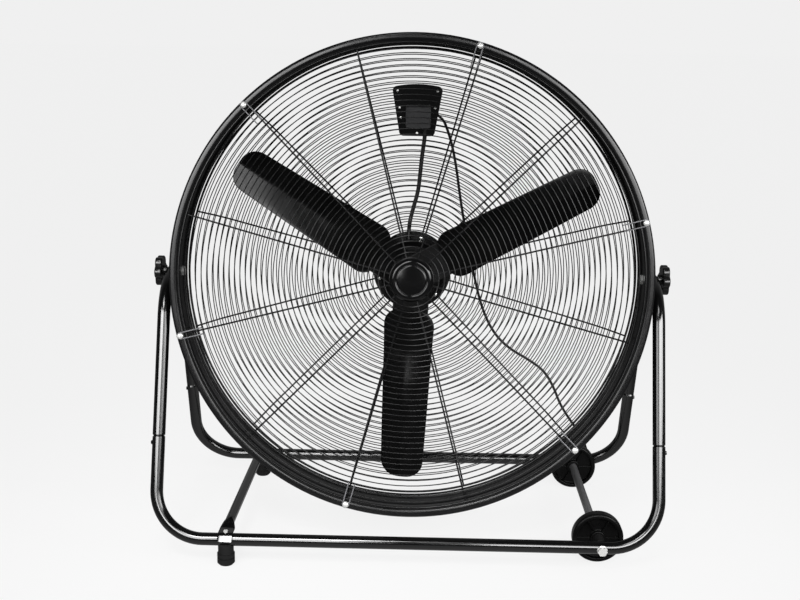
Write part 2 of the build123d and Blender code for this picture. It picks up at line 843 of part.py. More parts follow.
with BuildPart() as bearings:
    for bearing_front in (foot_front + bearing_width, motor_front):
        with BuildSketch(fan_plane(bearing_front)):
            Circle(bearing_radius)
            Circle(shaft_radius + shaft_fit, mode=Mode.SUBTRACT)
        extrude(amount=-bearing_width)
save(bearings, "motor_bearings")

core_middle = (foot_front + motor_front) / 2
with BuildPart() as stator:
    with BuildSketch(fan_plane(core_middle)):
        Circle(bore_radius - screw_gap)
        Circle(stator_inner_radius, mode=Mode.SUBTRACT)
        with PolarLocations((stator_inner_radius + bore_radius) / 2, stator_slots):
            Rectangle(motor_screw_head, motor_wall, mode=Mode.SUBTRACT)
    extrude(amount=stator_length / 2, both=True)
save(stator, "motor_stator")

with BuildPart() as rotor_core:
    with BuildSketch(fan_plane(core_middle)):
        Circle(stator_inner_radius - air_gap)
        Circle(shaft_radius + seat_gap, mode=Mode.SUBTRACT)
    extrude(amount=core_length / 2, both=True)
save(rotor_core, "rotor_core")

with BuildPart() as motor_shaft:
    with BuildSketch(fan_plane(foot_front + run_gap)):
        Circle(shaft_radius)
    extrude(amount=shaft_tip - foot_front - run_gap)
save(motor_shaft, "motor_shaft")

# ================================================================ blades
rivet_spots = [(rivet_near, 0), (rivet_far, rivet_spread), (rivet_far, -rivet_spread)]
blade_back = blade_reach - boss_length / 2
boss_front = blade_reach + boss_length / 2


def blade_plane(turn, pitch=0):
    """Plane along a blade: local x runs out to the tip, local y across the chord."""
    return Plane(fan_plane(blade_reach, turn).location * Location((0, 0, 0), (pitch, 0, 0)))


with BuildPart() as blade_hub:
    with BuildSketch(fan_plane(blade_back)):
        Circle(boss_radius)
    extrude(amount=boss_length)
    with BuildSketch(fan_plane(blade_reach)):
        Circle(spider_radius)
    extrude(amount=spider_thickness / 2, both=True)
    for blade in range(blade_count):
        arm_plane = blade_plane(blade_phase + blade * 360 / blade_count, blade_root_pitch)
        with BuildSketch(arm_plane):
            with Locations((arm_reach / 2, 0)):
                Rectangle(arm_reach, arm_width)
            chamfer(vertices().group_by(Axis.X)[-1], length=arm_corner)
        extrude(amount=-arm_thickness)
        with BuildSketch(arm_plane):
            with Locations(*rivet_spots):
                Circle(rivet_diameter / 2 + seat_gap)
        extrude(amount=-arm_thickness, mode=Mode.SUBTRACT)
    with BuildSketch(fan_plane(blade_back)):
        Circle(shaft_radius + seat_gap)
    extrude(amount=boss_length, mode=Mode.SUBTRACT)
save(blade_hub, "blade_hub")


def blade_section(turn, radius, pitch):
    """Plane across a blade at a radius: local x across the chord, local y ahead of the blade."""
    along = blade_plane(turn, pitch)
    return Plane(along.origin + along.x_dir * radius, along.y_dir, along.x_dir)


for blade in range(blade_count):
    blade_turn = blade_phase + blade * 360 / blade_count
    with BuildPart() as fan_blade:
        for side in (-1, 1):
            for step in range(blade_span_steps + 2):
                share = max(step - 1, 0) / blade_span_steps
                radius = blade_flat_end + share * (blade_tip - blade_flat_end)
                if step == 0:
                    radius = blade_root
                taper = (radius - blade_root) / (blade_tip - blade_root)
                half_chord = (blade_root_width + taper * (blade_tip_width - blade_root_width)) / 2
                pitch = blade_root_pitch + share * (blade_tip_pitch - blade_root_pitch)
                ridge = blade_ridge if share else 0
                with BuildSketch(blade_section(blade_turn, radius, pitch)):
                    with BuildLine():
                        Polyline(
                            (0, ridge),
                            (side * half_chord, 0),
                            (side * half_chord, blade_thickness),
                            (0, ridge + blade_thickness),
                            close=True,
                        )
                    make_face()
            loft(ruled=True)
        with BuildSketch(blade_plane(blade_turn, blade_root_pitch)):
            with BuildLine():
                Polyline(
                    (blade_root, -blade_root_width / 2),
                    (blade_tip, -blade_tip_width / 2),
                    (blade_tip, blade_tip_width / 2),
                    (blade_root, blade_root_width / 2),
                    close=True,
                )
            make_face()
            fillet(vertices().group_by(Axis.X)[0], radius=blade_root_corner)
            fillet(vertices().group_by(Axis.X)[-1], radius=blade_tip_corner)
        extrude(amount=blade_root_width, both=True, mode=Mode.INTERSECT)
        with BuildSketch(blade_plane(blade_turn, blade_root_pitch)):
            with Locations(*rivet_spots):
                Circle(rivet_diameter / 2 + seat_gap)
        extrude(amount=blade_thickness, mode=Mode.SUBTRACT)
    save(fan_blade, f"blade_{blade + 1}")

with BuildPart() as blade_rivets:
    for blade in range(blade_count):
        rivet_plane = blade_plane(blade_phase + blade * 360 / blade_count, blade_root_pitch)
        for face, reach in ((blade_thickness, 1), (-arm_thickness, -1)):
            with BuildSketch(rivet_plane.offset(face)):
                with Locations(*rivet_spots):
                    Circle(rivet_head / 2)
            extrude(amount=reach * rivet_head_height)
        with BuildSketch(rivet_plane.offset(-arm_thickness)):
            with Locations(*rivet_spots):
                Circle(rivet_diameter / 2)
        extrude(amount=arm_thickness + blade_thickness)
save(blade_rivets, "blade_rivets")

with BuildPart() as shaft_nut:
    with BuildSketch(fan_plane(boss_front)):
        RegularPolygon(shaft_nut_size / 2, 6, major_radius=False)
        Circle(shaft_radius + seat_gap, mode=Mode.SUBTRACT)
    extrude(amount=shaft_nut_height)
save(shaft_nut, "shaft_nut")

# ================================================================ pivots and knobs
tube_inside = side_x - tube_radius
tube_outside = side_x + tube_radius
knob_seat = tube_outside + run_gap + knob_collar_length
knob_face = knob_seat + knob_thickness
wall_inside = wall_radius - sheet
bolt_seat = (wall_inside**2 - (pivot_head_size / 2 / cos(radians(30))) ** 2) ** 0.5
bolt_reach = knob_face - knob_wall - run_gap
lobe_circle = knob_diameter / 2 - knob_lobe_radius

with BuildPart() as pivot_bolts:
    for side in (-1, 1):
        bolt_plane = Plane((side * bolt_seat, 0, pivot_height), (0, 1, 0), (side, 0, 0))
        with BuildSketch(bolt_plane):
            Circle(pivot_diameter / 2)
        extrude(amount=bolt_reach - bolt_seat)
        with BuildSketch(bolt_plane):
            RegularPolygon(pivot_head_size / 2, 6, major_radius=False)
        extrude(amount=-pivot_head_height)
save(pivot_bolts, "pivot_bolts")

with BuildPart() as pivot_spacers:
    for side in (-1, 1):
        with BuildSketch(Plane((side * wall_radius, 0, pivot_height), (0, 1, 0), (side, 0, 0))):
            Circle(pivot_washer_diameter / 2)
            Circle(pivot_diameter / 2 + seat_gap, mode=Mode.SUBTRACT)
        extrude(amount=tube_inside - wall_radius - run_gap)
save(pivot_spacers, "pivot_spacers")

for side, knob_name in ((-1, "left_tilt_knob"), (1, "right_tilt_knob")):
    knob_plane = Plane((side * knob_seat, 0, pivot_height), (0, 1, 0), (side, 0, 0))
    with BuildPart() as tilt_knob:
        with BuildSketch(knob_plane):
            Circle(lobe_circle + knob_lobe_radius / 2)
            with PolarLocations(lobe_circle, knob_lobes):
                Circle(knob_lobe_radius)
        extrude(amount=knob_thickness)
        with BuildSketch(knob_plane):
            Circle(knob_collar_diameter / 2)
        extrude(amount=-knob_collar_length)
        with BuildSketch(knob_plane.offset(-knob_collar_length)):
            Circle(pivot_hole)
        extrude(amount=knob_collar_length + knob_thickness - knob_wall, mode=Mode.SUBTRACT)
    save(tilt_knob, knob_name)

# ================================================================ switch
switch_centre = fan_point(switch_x, switch_radius, -pan_reach(switch_radius))
lean = radians(cone_angle)
switch_plane = Plane(switch_centre, across, ahead * cos(lean) - upward * sin(lean))
wire_face = spoke_wire / 2
plate_back = wire_face + plate_lift
plate_front_face = plate_back + switch_plate_thickness
housing_front = -wire_face - seat_gap
housing_back = housing_front - housing_depth
screw_spots = [
    (-corner_screw_x, corner_screw_y),
    (corner_screw_x, corner_screw_y),
    (-side_screw_x, side_screw_y),
    (side_screw_x, side_screw_y),
    (low_screw_x, low_screw_y),
    (0, bottom_screw_y),
]
screw_bore = switch_screw_diameter / 2 + screw_gap
terminal_plane = switch_plane.offset(plate_front_face)
lead_rise = lead_diameter / 2 + grommet_wall + seat_gap

with BuildPart() as switch_plate:
    with BuildSketch(switch_plane.offset(plate_back)):
        with BuildLine():
            outline = Polyline(
                (-switch_top_width / 2, switch_height / 2),
                (-switch_bottom_width / 2, -switch_height / 2),
                (switch_bottom_width / 2, -switch_height / 2),
                (switch_top_width / 2, switch_height / 2),
            )
            top_middle = (0, switch_height / 2 + switch_top_rise)
            ThreePointArc(outline @ 1, top_middle, outline @ 0)
        make_face()
        fillet(vertices(), radius=switch_corner)
        with Locations(*screw_spots):
            Circle(screw_bore, mode=Mode.SUBTRACT)
    extrude(amount=switch_plate_thickness)
save(switch_plate, "switch_plate")

with BuildPart() as terminal_box:
    with BuildSketch(terminal_plane):
        with Locations((terminal_shift, -terminal_drop)):
            RectangleRounded(terminal_width, terminal_height, housing_edge)
    extrude(amount=terminal_depth, taper=mould_draft)
save(terminal_box, "terminal_box")

screw_run = switch_plate_thickness + plate_lift + spoke_wire + 2 * clamp_washer_thickness
with BuildPart() as switch_screws:
    with BuildSketch(terminal_plane):
        with Locations(*screw_spots):
            Circle(switch_head_diameter / 2)
    extrude(amount=switch_head_height)
    with BuildSketch(terminal_plane):
        with Locations(*screw_spots):
            Circle(switch_screw_diameter / 2)
    extrude(amount=-screw_run)
save(switch_screws, "switch_screws")

with BuildPart() as switch_clamps:
    with BuildSketch(switch_plane.offset(housing_front)):
        with Locations(*screw_spots):
            Circle(clamp_washer_diameter / 2)
            Circle(screw_bore, mode=Mode.SUBTRACT)
    extrude(amount=-clamp_washer_thickness)
save(switch_clamps, "switch_clamp_washers")

speed_bore = speed_shaft_diameter / 2 + pivot_fit
with BuildPart() as switch_housing:
    with BuildSketch(switch_plane.offset(housing_front)):
        RectangleRounded(housing_width, housing_height, housing_edge)
    extrude(amount=-housing_depth, taper=housing_draft)
    with BuildSketch(switch_plane.offset(housing_back)):
        Circle(speed_shaft_diameter / 2)
    extrude(amount=-speed_shaft_length)
save(switch_housing, "switch_housing")

with BuildPart() as speed_knob:
    with BuildSketch(switch_plane.offset(housing_back - run_gap)):
        Circle(speed_knob_diameter / 2)
    extrude(amount=-speed_knob_height, taper=speed_knob_draft)
    with BuildSketch(switch_plane.offset(housing_back - run_gap - speed_knob_height)):
        with Locations((0, speed_knob_grip_lift)):
            Rectangle(speed_knob_grip, speed_knob_diameter / 2)
    extrude(amount=-speed_knob_grip / 2)
    with BuildSketch(switch_plane.offset(housing_back)):
        Circle(speed_bore)
    extrude(amount=-speed_shaft_length - run_gap, mode=Mode.SUBTRACT)
save(speed_knob, "speed_knob")

gland_root = switch_plane.from_local_coords(
    (housing_width / 2, gland_lift, housing_front - housing_depth / 2)
)
gland_way = across * cos(radians(gland_droop)) - switch_plane.y_dir * sin(radians(gland_droop))
gland_mouth = gland_root + gland_way * gland_length

with BuildPart() as cord_gland:
    with BuildSketch(Plane(gland_root - gland_way * gland_seat, z_dir=gland_way)):
        Circle(gland_seat / 2)
    with BuildSketch(Plane(gland_mouth, z_dir=gland_way)):
        Circle(gland_tip / 2)
    loft()
    add(switch_housing.part, mode=Mode.SUBTRACT)
save(cord_gland, "cord_gland")


def bend_radii(points):
    """Arc radius for each corner of a route, from its shorter run and its turn."""
    radii = []
    for before, corner, after in zip(points, points[1:], points[2:]):
        into = corner - before
        out_of = after - corner
        half_turn = radians(into.get_angle(out_of)) / 2
        radii.append(bend_share * min(into.length, out_of.length) / tan(half_turn))
    return radii


def report_tube(name, piece, path, section_area, radii):
    """Print a tube's bends and how its volume compares with its section times length."""
    length = path.length
    ratio = piece.part.volume / (section_area * length)
    print(name, "length", round(length), "least bend", round(min(radii), 1), "ratio", round(ratio, 3))


def polygon_area(across_corners, sides):
    """Area of a regular polygon from its width across the corners."""
    return sides / 2 * (across_corners / 2) ** 2 * sin(radians(360 / sides))


# ---------------------------------------------------------------- motor lead
lead_start = switch_plane.from_local_coords(
    (lead_x, -terminal_drop - terminal_height / 2, plate_front_face + lead_rise)
)
lead_bottom = switch_plane.from_local_coords(
    (lead_x, -switch_height / 2, plate_front_face + lead_rise)
)
lead_entry = (foot_front + bell_split) / 2
lead_run = switch_radius - switch_height / 2 - motor_foot_radius


def lead_point(x, share):
    """Lead's middle over the rear wires, a share of the way up from the motor to the switch."""
    radius = motor_foot_radius + share * lead_run
    return fan_point(x, radius, lead_lift - pan_reach(radius))


lead_points = [
    lead_start,
    lead_bottom,
    lead_point(lead_x, 0.83),
    lead_point(0.8 * lead_x, 0.64),
    lead_point(0.6 * lead_x, 0.44),
    lead_point(0, 0.26),
    lead_point(-0.4 * lead_x, 0.12),
    fan_point(-0.5 * lead_x, motor_radius + 2 * lead_diameter, lead_entry),
    fan_point(-0.5 * lead_x, motor_radius, lead_entry),
]
lead_bends = bend_radii(lead_points)
with BuildPart() as motor_lead:
    with BuildLine() as lead_path:
        FilletPolyline(*lead_points, radius=lead_bends)
    with BuildSketch(Plane(lead_points[0], z_dir=lead_points[1] - lead_points[0])):
        RegularPolygon(lead_diameter / 2, lead_sides)
    sweep()
save(motor_lead, "motor_lead")
lead_area = polygon_area(lead_diameter, lead_sides)
report_tube("motor lead", motor_lead, lead_path.wire(), lead_area, lead_bends)

with BuildPart() as lead_grommets:
    for way, seat in ((1, 0), (-1, -1)):
        start = lead_points[seat]
        toward = (lead_points[seat + way] - start).normalized()
        with BuildSketch(Plane(start, z_dir=toward)):
            Circle(lead_diameter / 2 + grommet_wall)
            Circle(lead_diameter / 2 + seat_gap, mode=Mode.SUBTRACT)
        extrude(amount=grommet_length)
save(lead_grommets, "lead_grommets")

# ---------------------------------------------------------------- mains cord
cord_radius = cord_diameter / 2
coil_x = axle_x + coil_shift
coil_entry = Vector(coil_x + coil_reach, coil_y - cord_diameter, cord_radius)
cord_fall = coil_entry - gland_mouth


def cord_point(side, back, down):
    """Point of the cord's route, by its shares of the way from the gland to the coil."""
    return gland_mouth + Vector(cord_fall.X * side, cord_fall.Y * back, cord_fall.Z * down)


cord_points = [
    gland_mouth,
    gland_mouth + gland_way * gland_run,
    cord_point(0.062, 0.038, 0.0371),
    cord_point(0.089, 0.067, 0.0743),
    cord_point(0.117, 0.108, 0.1306),
    cord_point(0.141, 0.167, 0.2015),
    cord_point(0.174, 0.214, 0.2826),
    cord_point(0.214, 0.231, 0.3637),
    cord_point(0.251, 0.243, 0.4425),
    cord_point(0.296, 0.249, 0.5124),
    cord_point(0.364, 0.249, 0.5732),
    cord_point(0.458, 0.255, 0.6148),
    cord_point(0.578, 0.273, 0.6453),
    cord_point(0.673, 0.296, 0.6768),
    cord_point(0.733, 0.331, 0.7218),
    cord_point(0.778, 0.378, 0.7725),
    cord_point(0.840, 0.437, 0.8176),
    cord_point(0.903, 0.525, 0.8570),
    cord_point(0.950, 0.613, 0.8953),
    cord_point(0.980, 0.695, 0.9336),
    cord_point(0.993, 0.754, 0.9617),
    cord_point(1.000, 0.812, 0.9831),
    cord_point(1.000, 0.877, 0.9955),
    coil_entry - Vector(0, cord_landing, 0),
    coil_entry,
]
cord_bends = bend_radii(cord_points)
with BuildPart() as mains_cord:
    with BuildLine() as cord_path:
        FilletPolyline(*cord_points, radius=cord_bends)
    with BuildSketch(Plane(gland_mouth, z_dir=gland_way)):
        RegularPolygon(cord_radius, cord_sides)
    sweep()
save(mains_cord, "mains_cord")
cord_area = polygon_area(cord_diameter, cord_sides)
report_tube("mains cord", mains_cord, cord_path.wire(), cord_area, cord_bends)

# Half turns: spiral in on the floor, climb one layer, spiral out again on top.
reach = coil_reach
height = cord_radius
coil_bends = []
with BuildPart() as cord_coil:
    with BuildLine() as coil_path:
        stretch = Line(coil_entry, coil_entry + Vector(0, cord_diameter, 0))
        for half in range(1, coil_turns_in + coil_turns_out + 2):
            climbing = half == coil_turns_in + 1
            if half <= coil_turns_in + 1:
                step_out = -coil_pitch / 2
            elif half == coil_turns_in + 2:
                step_out = climb_pitches * coil_pitch
            else:
                step_out = coil_pitch / 2
            side = 1 if half % 2 == 0 else -1
            coil_bends.append(reach + step_out / 2)
            reach += step_out
            height += coil_pitch if climbing else 0
            turn_end = Vector(coil_x + side * reach, coil_y, height)
            stretch = TangentArc(stretch @ 1, turn_end, tangent=stretch % 1)
        coil_exit = stretch @ 1 + Vector(0, coil_tail, 0)
        Line(stretch @ 1, coil_exit)
    with BuildSketch(Plane(coil_entry, z_dir=(0, 1, 0))):
        RegularPolygon(cord_radius, cord_sides)
    sweep()
save(cord_coil, "cord_coil")
report_tube("cord coil", cord_coil, coil_path.wire(), cord_area, coil_bends)

# Least gap of the coil to itself, on points along it that lie over one diameter apart.
coil_wire = coil_path.wire()
sample_count = round(coil_wire.length / cord_radius)
samples = [coil_wire @ (index / sample_count) for index in range(sample_count + 1)]
spacing = coil_wire.length / sample_count
apart = round(coil_reach / spacing)
least = min(
    (first - second).length
    for index, first in enumerate(samples)
    for second in samples[index + apart :]
)
print("coil's least gap to itself", round(least - cord_diameter, 2))

plug_neck_plane = Plane(coil_exit, x_dir=(1, 0, 0), z_dir=(0, 1, 0))
plug_back_plane = plug_neck_plane.offset(plug_neck_length)
with BuildPart() as plug:
    with BuildSketch(plug_neck_plane):
        Circle(plug_neck_diameter / 2)
    with BuildSketch(plug_back_plane):
        Circle(plug_neck_flare * plug_neck_diameter / 2)
    loft()
    with BuildSketch(plug_back_plane):
        RectangleRounded(plug_width, 2 * coil_exit.Z, plug_corner)
    extrude(amount=plug_length)
    with BuildSketch(plug_back_plane.offset(plug_length)):
        with GridLocations(pin_spacing, 1, 2, 1):
            Circle(pin_diameter / 2)
    extrude(amount=pin_length)
save(plug, "plug")
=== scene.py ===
from math import asin, atan, atan2, cos, hypot, pi, radians, sin, tan

import bpy
import numpy as np
from mathutils import Matrix


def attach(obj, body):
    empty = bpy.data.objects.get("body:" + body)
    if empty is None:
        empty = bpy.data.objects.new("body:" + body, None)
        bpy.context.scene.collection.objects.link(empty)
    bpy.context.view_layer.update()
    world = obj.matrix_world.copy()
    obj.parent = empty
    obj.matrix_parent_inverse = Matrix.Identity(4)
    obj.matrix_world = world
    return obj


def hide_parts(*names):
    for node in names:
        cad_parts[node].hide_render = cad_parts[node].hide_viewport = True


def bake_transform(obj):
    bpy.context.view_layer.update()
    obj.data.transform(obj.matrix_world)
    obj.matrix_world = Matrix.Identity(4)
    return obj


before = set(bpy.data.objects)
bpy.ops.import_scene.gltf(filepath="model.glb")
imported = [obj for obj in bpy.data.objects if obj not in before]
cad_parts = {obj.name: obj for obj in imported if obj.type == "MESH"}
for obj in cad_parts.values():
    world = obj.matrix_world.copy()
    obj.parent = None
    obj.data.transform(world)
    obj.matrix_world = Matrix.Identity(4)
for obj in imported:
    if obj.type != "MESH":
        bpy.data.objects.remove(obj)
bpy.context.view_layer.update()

# A large drum fan on a tube stand. Metres, +Z up, the fan blows towards -Y.

# ---------------------------------------------------------------- places
TILT = radians(6.9)
PIVOT = np.array([0.0, 0.0, 0.560])
ACROSS = np.array([1.0, 0.0, 0.0])
BACK = np.array([0.0, 1.0, 0.0])
UP = np.array([0.0, 0.0, 1.0])
AHEAD = np.array([0.0, -cos(TILT), sin(TILT)])
UPWARD = np.array([0.0, sin(TILT), cos(TILT)])
# A place is (origin, x, y, z). The fan's is at the pivot, with its z ahead along the axis.
FAN = (PIVOT, ACROSS, UPWARD, AHEAD)

# The stand's middle lines: hoops, rails, the arch on top of each hoop, and the plug joints.
HOOP_X = 0.5145
TUBE_RADIUS = 0.013
RAIL_Z = 0.053
RAIL_Y = 0.250
ARCH = 0.110
ARCH_Z = 0.450
JOINT_Z = 0.250
LEAN = atan2(RAIL_Y, ARCH_Z - RAIL_Z) - asin(ARCH / hypot(RAIL_Y, ARCH_Z - RAIL_Z))
JOINT_Y = RAIL_Y - (JOINT_Z - RAIL_Z) * tan(LEAN)
RAIL_BEND = 0.098
TUBE_SIDES = 40
JOINT_EASE = 0.0022
AXLE_X = 0.397

# The wires and blades lie this far round the fan's axis from its x.
SPOKE_TURN = radians(14.8)
BLADE_TURN = radians(28)

# ---------------------------------------------------------------- shapes
# A shape is (points, faces): an array of points, and a list of arrays of point numbers.


def unit(ways):
    """Each row divided by its own length."""
    return ways / np.linalg.norm(ways, axis=-1, keepdims=True)


def put(shape, place):
    """Points (a, b, c) moved to origin + a x + b y + c z of the place."""
    points, faces = shape
    origin, x, y, z = place
    return origin + points @ np.array([x, y, z]), faces


def joined(*shapes):
    """The shapes as one: their points end to end, with the point numbers moved on."""
    starts = np.cumsum([0] + [len(points) for points, _ in shapes])
    faces = [block + start for (_, blocks), start in zip(shapes, starts) for block in blocks]
    return np.concatenate([points for points, _ in shapes]), faces


def outward(shape):
    """The closed shape with its faces outwards: its volume is a sixth of the sum of each
    triangle's triple product, and where that is negative every face is turned over."""
    points, faces = shape
    volume = 0.0
    for block in faces:
        fans = points[block]
        first = fans[:, :1]
        volume += np.sum(np.cross(fans[:, 1:-1] - first, fans[:, 2:] - first) * first)
    return points, [block[:, ::-1] if volume < 0 else block for block in faces]


def quads_over(rows, columns, along=False):
    """Quads over rows and columns of points: each joins a point to the next in its row and
    column, and each row's last to its first. Along joins the last row to the first too."""
    number = np.arange(rows * columns).reshape(rows, columns)
    if along:
        number = np.vstack([number, number[:1]])
    number = np.hstack([number, number[:, :1]])
    quads = [number[:-1, :-1], number[1:, :-1], number[1:, 1:], number[:-1, 1:]]
    return np.stack(quads, -1).reshape(-1, 4)


def woven(grid, along=False, ends=False):
    """A skin over a grid of points (copies, rows, columns), closed round each row, and along
    the rows if asked. Ends closes the first and last row of each copy with one face."""
    rows, columns = grid.shape[-3:-1]
    copies = grid.reshape(-1, rows * columns, 3)
    starts = np.arange(len(copies))[:, None] * rows * columns
    faces = [(quads_over(rows, columns, along) + starts[..., None]).reshape(-1, 4)]
    if ends:
        first = np.arange(columns)
        last = first[::-1] + (rows - 1) * columns
        faces += [first + starts, last + starts]
    return outward((copies.reshape(-1, 3), faces))


def turned(profile, sides, loop=False):
    """A profile of (radius, height) turned about the z axis: radius cos, radius sin, height.
    A looped profile closes on itself. Any other starts and ends on the axis, where a fan of
    triangles closes it."""
    profile = np.asarray(profile, float)
    angle = np.linspace(0, 2 * pi, sides, endpoint=False)
    rows = profile if loop else profile[1:-1]
    radius = rows[:, :1]
    height = np.repeat(rows[:, 1:], sides, axis=1)
    grid = np.stack([radius * np.cos(angle), radius * np.sin(angle), height], -1)
    if loop:
        return woven(grid, along=True)
    count = len(rows) * sides
    first = np.arange(sides)
    beyond = np.roll(first, -1)
    last = count - sides
    low = np.stack([np.full(sides, count), first, beyond], -1)
    high = np.stack([np.full(sides, count + 1), beyond + last, first + last], -1)
    tips = [(0, 0, profile[0, 1]), (0, 0, profile[-1, 1])]
    points = np.concatenate([grid.reshape(-1, 3), tips])
    return outward((points, [quads_over(len(rows), sides), low, high]))


def softened(corners, setback, steps, loop=False):
    """A line of corners with each one rounded: a quadratic curve from setback before the
    corner to setback after it, at most 0.45 of the shorter run, with the corner as its handle."""
    corners = np.asarray(corners, float)
    before = np.roll(corners, 1, axis=0)
    after = np.roll(corners, -1, axis=0)
    to_before = np.linalg.norm(before - corners, axis=1, keepdims=True)
    to_after = np.linalg.norm(after - corners, axis=1, keepdims=True)
    reach = np.broadcast_to(np.reshape(setback, (-1, 1)), to_before.shape)
    reach = np.minimum(reach, 0.45 * np.minimum(to_before, to_after))
    start = corners + (before - corners) / to_before * reach
    end = corners + (after - corners) / to_after * reach
    t = np.linspace(0, 1, steps + 1)[None, :, None]
    handle = 2 * t * (1 - t) * corners[:, None]
    arcs = (1 - t) ** 2 * start[:, None] + handle + t**2 * end[:, None]
    if loop:
        return arcs.reshape(-1, corners.shape[1])
    middle = arcs[1:-1].reshape(-1, corners.shape[1])
    return np.concatenate([corners[:1], middle, corners[-1:]])


def bent_route(corners, bend, step=radians(4)):
    """Straight runs joined by round bends: at each corner the arc starts bend times the
    tangent of half the turn before it, and swings about a centre inside the corner."""
    corners = np.asarray(corners, float)
    route = [corners[:1]]
    for before, corner, after in zip(corners, corners[1:], corners[2:]):
        into, out = unit(corner - before), unit(after - corner)
        turn = np.arccos(np.clip(into @ out, -1, 1))
        inward = unit(out - into * (into @ out))
        start = corner - into * bend * tan(turn / 2)
        angle = np.linspace(0, turn, max(2, round(turn / step)))[:, None]
        route.append(start + into * bend * np.sin(angle) + inward * bend * (1 - np.cos(angle)))
    return np.concatenate(route + [corners[-1:]])


def carried(path):
    """Ways along and across a path. The first way across is square to it, and each next one
    is the one before, less its share along the path there."""
    along = unit(np.gradient(path, axis=0))
    across = np.empty_like(path)
    way = np.eye(3)[np.argmin(np.abs(along[0]))]
    for station, forward in enumerate(along):
        way = way - forward * (way @ forward)
        way = way / np.linalg.norm(way)
        across[station] = way
    return along, across, np.cross(along, across)


def tube(path, radius, sides, edge=0.0):
    """A round section carried along a path: path + radius (cos across + sin beside), closed
    at both ends. With an edge, the ends are bevelled by it."""
    path = np.asarray(path, float)
    radius = np.broadcast_to(np.asarray(radius, float), (len(path),))
    if edge:
        head = path[:1] + unit(path[1:2] - path[:1]) * edge
        tail = path[-1:] + unit(path[-2:-1] - path[-1:]) * edge
        path = np.concatenate([path[:1], head, path[1:-1], tail, path[-1:]])
        radius = np.concatenate([radius[:1] - edge, radius, radius[-1:] - edge])
    _, across, beside = carried(path)
    angle = np.linspace(0, 2 * pi, sides, endpoint=False)[None, :, None]
    ring = np.cos(angle) * across[:, None] + np.sin(angle) * beside[:, None]
    return woven(path[:, None] + radius[:, None, None] * ring, ends=True)


def slab(outline, low, high, edge, steps=3):
    """A flat outline given thickness: it rises from low to high, and its edges are rounded
    by moving it inwards along its normals by edge (1 - sin) as it rises by edge (1 - cos)."""
    outline = np.asarray(outline, float)
    beyond = np.roll(outline, -1, axis=0)
    tangent = unit(beyond - np.roll(outline, 1, axis=0))
    area = np.sum(outline[:, 0] * beyond[:, 1] - outline[:, 1] * beyond[:, 0])
    inward = np.stack([-tangent[:, 1], tangent[:, 0]], -1) * np.sign(area)
    angle = np.linspace(0, pi / 2, steps + 1)
    inset = edge * (1 - np.sin(angle))
    rise = edge * (1 - np.cos(angle))
    inset = np.concatenate([inset, inset[::-1]])
    height = np.concatenate([low + rise, (high - rise)[::-1]])
    flat = outline + inset[:, None, None] * inward
    heights = np.broadcast_to(height[:, None, None], flat.shape[:2] + (1,))
    return woven(np.concatenate([flat, heights], -1), ends=True)


def round_box(width, height, corner, steps=5):
    """Corner points of a width by height rectangle about the origin, rounded by corner."""
    a, b = width / 2, height / 2
    return softened([(-a, -b), (a, -b), (a, b), (-a, b)], corner, steps, loop=True)


def moved(shape, x, y):
    """The shape moved by x and y."""
    points, faces = shape
    return points + [x, y, 0], faces


def spun(shape, count, start=0.0):
    """Copies of a shape turned about the z axis, count of them evenly round from start."""
    points, faces = shape
    angle = start + np.arange(count) * 2 * pi / count
    c, s = np.cos(angle)[:, None], np.sin(angle)[:, None]
    x, y, z = points.T
    copies = np.stack([c * x - s * y, s * x + c * y, np.broadcast_to(z, (count, len(z)))], -1)
    starts = np.arange(count)[:, None, None] * len(points)
    faces = [(block + starts).reshape(-1, block.shape[1]) for block in faces]
    return copies.reshape(-1, 3), faces


def dome(radius, height, sides, seat):
    """Low domed screw head on a seat: a rim a quarter of its height, and above that the
    height falls off as the square root of one less the square of the radius share."""
    share = np.sin(np.linspace(pi / 2, 0, 7))
    crown = [(radius * s, seat + height * (0.25 + 0.75 * np.sqrt(1 - s**2))) for s in share]
    return turned([(0, seat), (radius, seat)] + crown, sides)


def piece(name, body, finish, slot, *shapes, nodes=(), crease=35):
    """A mesh of the shapes, riding on a body of the fan, in its finish, in place of nodes.
    Edges that turn by more than the crease, in degrees, stay sharp."""
    points, faces = joined(*shapes)
    mesh = bpy.data.meshes.new(name)
    mesh.from_pydata(points, [], [face for block in faces for face in block.tolist()])
    mesh.polygons.foreach_set("use_smooth", np.ones(len(mesh.polygons), bool))
    mesh.set_sharp_from_angle(angle=radians(crease))
    mesh.materials.append(finish)
    made = bpy.data.objects.new(name, mesh)
    bpy.context.scene.collection.objects.link(made)
    if body:
        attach(made, body)
    if nodes:
        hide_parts(*nodes)
    return made


# ---------------------------------------------------------------- finishes
# Nearly all of the noise lies between these two values.
GRAIN_LOW, GRAIN_HIGH = 0.3, 0.7


def new_finish(name, colour, rough, metal=0.0, specular=0.5):
    """A material whose shader has this colour, roughness, metalness and specular level."""
    material = bpy.data.materials.new(name)
    material.use_nodes = True
    shader = material.node_tree.nodes["Principled BSDF"]
    shader.inputs["Base Color"].default_value = (*colour, 1)
    shader.inputs["Roughness"].default_value = rough
    shader.inputs["Metallic"].default_value = metal
    shader.inputs["Specular IOR Level"].default_value = specular
    return material, shader


